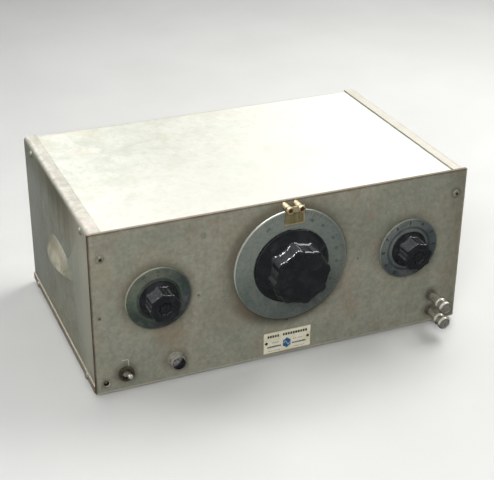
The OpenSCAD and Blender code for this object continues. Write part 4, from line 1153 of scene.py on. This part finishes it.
def nameplate_emblem():
    """Hexagon with slightly hollow sides."""
    ring = []
    for k in range(6):
        start, end = math.radians(60 * k + 30), math.radians(60 * k + 90)
        for i in range(6):
            part = i / 6
            x = (1 - part) * math.cos(start) + part * math.cos(end)
            z = (1 - part) * math.sin(start) + part * math.sin(end)
            pull = 0.94 + 0.06 * abs(2 * part - 1) ** 0.6 if i else 0.985
            ring.append((EMBLEM_CENTRE.x + 0.0050 * x / 0.97 * pull,
                         EMBLEM_CENTRE.z + 0.0062 * z * pull))
    mesh = bmesh.new()
    front = [mesh.verts.new((x, PRINT_FACE - 0.00004, z)) for x, z in ring]
    back = [mesh.verts.new((x, PRINT_FACE + 0.00006, z)) for x, z in ring]
    mesh.faces.new(front)
    mesh.faces.new(back[::-1])
    for i in range(len(ring)):
        following = (i + 1) % len(ring)
        mesh.faces.new((front[i], front[following], back[following], back[i]))
    add("nameplate_emblem", mesh, "blue_ink", "cabinet")


def nameplate_wave():
    """One period of a sine across the emblem, in short overlapping slabs."""
    mesh = bmesh.new()
    steps = 24
    curve = [(EMBLEM_CENTRE.x - 0.0034 + 0.0068 * i / steps,
              EMBLEM_CENTRE.z + 0.0022 * math.sin(2 * math.pi * i / steps))
             for i in range(steps + 1)]
    for (x, z), (next_x, next_z) in zip(curve, curve[1:]):
        length = math.hypot(next_x - x, next_z - z)
        place = ((x + next_x) / 2, PRINT_FACE - 0.00009, (z + next_z) / 2)
        slope = Matrix.Rotation(-math.atan2(next_z - z, next_x - x), 4, "Y")
        block(mesh, length * 1.15, 0.00008, 0.0007, Matrix.Translation(place) @ slope)
    add("nameplate_wave", mesh, "pale_mark", "cabinet")


def switch_tick():
    """A level stroke above the toggle switch and an upright one to its right."""
    mesh = bmesh.new()
    block(mesh, 0.0068, 0.00006, 0.0007, Matrix.Translation(point(30.0, -0.03, 33.85)))
    block(mesh, 0.0005, 0.00006, 0.0070, Matrix.Translation(point(33.6, -0.03, 29.6)))
    add("switch_tick", mesh, "pale_mark", "cabinet")


def panel_plug():
    """The small filled hole under the main dial."""
    mesh = bmesh.new()
    place = Matrix.Translation(point(205.0, 0.35, 40.3)) @ Matrix.Diagonal((1, 0.5, 1, 1))
    bmesh.ops.create_uvsphere(mesh, u_segments=16, v_segments=8, radius=0.0011, matrix=place)
    add("panel_plug", mesh, "dark_steel", "cabinet", smooth=True)


nameplate_bars()
nameplate_emblem()
nameplate_wave()
switch_tick()
panel_plug()


# ------------------------------------------------------------------ stage, light, camera
def floor():
    """Pale to the camera, darker in reflections and in the light it bounces."""
    mesh = bmesh.new()
    bmesh.ops.create_grid(mesh, x_segments=2, y_segments=2, size=4)
    data = bpy.data.meshes.new("floor")
    mesh.to_mesh(data)
    mesh.free()
    mat = Material("floor", (0.60, 0.60, 0.585))
    rays = mat.node("ShaderNodeLightPath").outputs
    mat.coat(mat.noise(5, detail=3, rough=0.5).ramp(0.35, 0.65), (0.63, 0.63, 0.615))
    mat.coat(Signal(mat, rays["Is Glossy Ray"]), (0.05, 0.05, 0.05))
    mat.coat(Signal(mat, rays["Is Diffuse Ray"]), (0.30, 0.30, 0.29))
    mat.finish(Roughness=0.85)
    data.materials.append(mat.data)
    link_object("floor", data)


def area(name, place, target, size, power, color=(1, 1, 1)):
    light = bpy.data.lights.new(name, "AREA")
    light.shape = "RECTANGLE"
    light.size, light.size_y = size
    light.energy = power
    light.color = color
    item = link_object(name, light)
    item.location = place
    aim = Vector(target) - Vector(place)
    item.rotation_euler = aim.to_track_quat("-Z", "Y").to_euler()
    return item


# reflection cards: offset from their target before spreading, size, power
CARD_TARGET = (0, -0.16, 0.11)
CARD_SPREAD = 1.3
CARDS = (
    ((-0.78, 0.39, 0.48), (0.34, 0.20), 15),
    ((-0.45, 0.40, 0.80), (0.40, 0.20), 20),
    ((0.12, 0.43, 0.90), (0.44, 0.22), 22),
    ((-0.20, 0.78, 0.58), (0.50, 0.22), 9.0),
)


def lights():
    area("key_top", (0.85, 0.30, 1.22), target=(0.12, 0.06, 0.1), size=(1.0, 0.8), power=21.0,
         color=(1.0, 0.995, 0.98))
    front = area("key_front", (-0.86, -1.58, 1.22), target=(-0.05, -0.1, 0.12), size=(0.9, 0.7),
                 power=34.0, color=(1.0, 1.0, 0.99))
    front.visible_glossy = False
    area("fill_side", (-1.8, 0.5, 0.9), target=(0, 0, 0.1), size=(1.0, 0.8), power=3.2,
         color=(0.98, 0.99, 1.0))
    # cards that only show as reflections: on the knobs' upper edges, the terminals and the lever
    for i, (offset, size, power) in enumerate(CARDS):
        place = [base + step * CARD_SPREAD for base, step in zip(CARD_TARGET, offset)]
        card = area("card_%d" % i, place, CARD_TARGET, size, power)
        card.visible_diffuse = False


def world():
    """Even light for diffuse rays, a glow high at the back for reflections, plain to camera."""
    studio = bpy.data.worlds.new("studio")
    SCENE.world = studio
    studio.use_nodes = True
    sky = Graph(studio.node_tree)
    _, y, z = sky.split(sky.signal("ShaderNodeTexCoord", output="Generated"))
    rays = sky.node("ShaderNodeLightPath").outputs
    # linear ramps: from low, from high, to low, to high
    high_glow, back_glow = (
        sky.signal("ShaderNodeMapRange", dict(enumerate((axis, *limits))))
        for axis, limits in ((z, (0.30, 0.95, 0.0, 1.7)), (y, (-0.15, 0.35, 0.05, 1.0))))
    reflected = sky.math("MULTIPLY_ADD", high_glow, back_glow, 0.03)
    lit = sky.signal("ShaderNodeMix",
                     {0: Signal(sky, rays["Is Glossy Ray"]), 2: 0.26, 3: reflected})
    seen = sky.signal("ShaderNodeMix", {0: Signal(sky, rays["Is Camera Ray"]), 2: lit, 3: 0.62})
    background = studio.node_tree.nodes["Background"]
    background.inputs["Color"].default_value = (0.97, 0.98, 1.0, 1)
    sky.feed(background.inputs["Strength"], seen)


def camera():
    """Long lens from the front left, looking down on the cabinet."""
    lens = bpy.data.cameras.new("camera")
    lens.sensor_width = 36
    lens.sensor_fit = "HORIZONTAL"
    lens.lens = 86.304644
    lens.clip_start = 0.05
    lens.clip_end = 20
    item = link_object("camera", lens)
    turn = Matrix(((0.9226983, 0.1735352, -0.3442578),
                   (-0.3854582, 0.4316204, -0.8155525),
                   (0.0070616, 0.8852058, 0.4651459)))
    place = point(-240.4075, -947.4310, 682.5356)
    item.matrix_world = Matrix.Translation(place) @ turn.to_4x4()
    SCENE.camera = item


floor()
lights()
world()
SCENE.view_settings.view_transform = "Standard"
SCENE.view_settings.look = "None"
SCENE.view_settings.exposure = 0.0
camera()
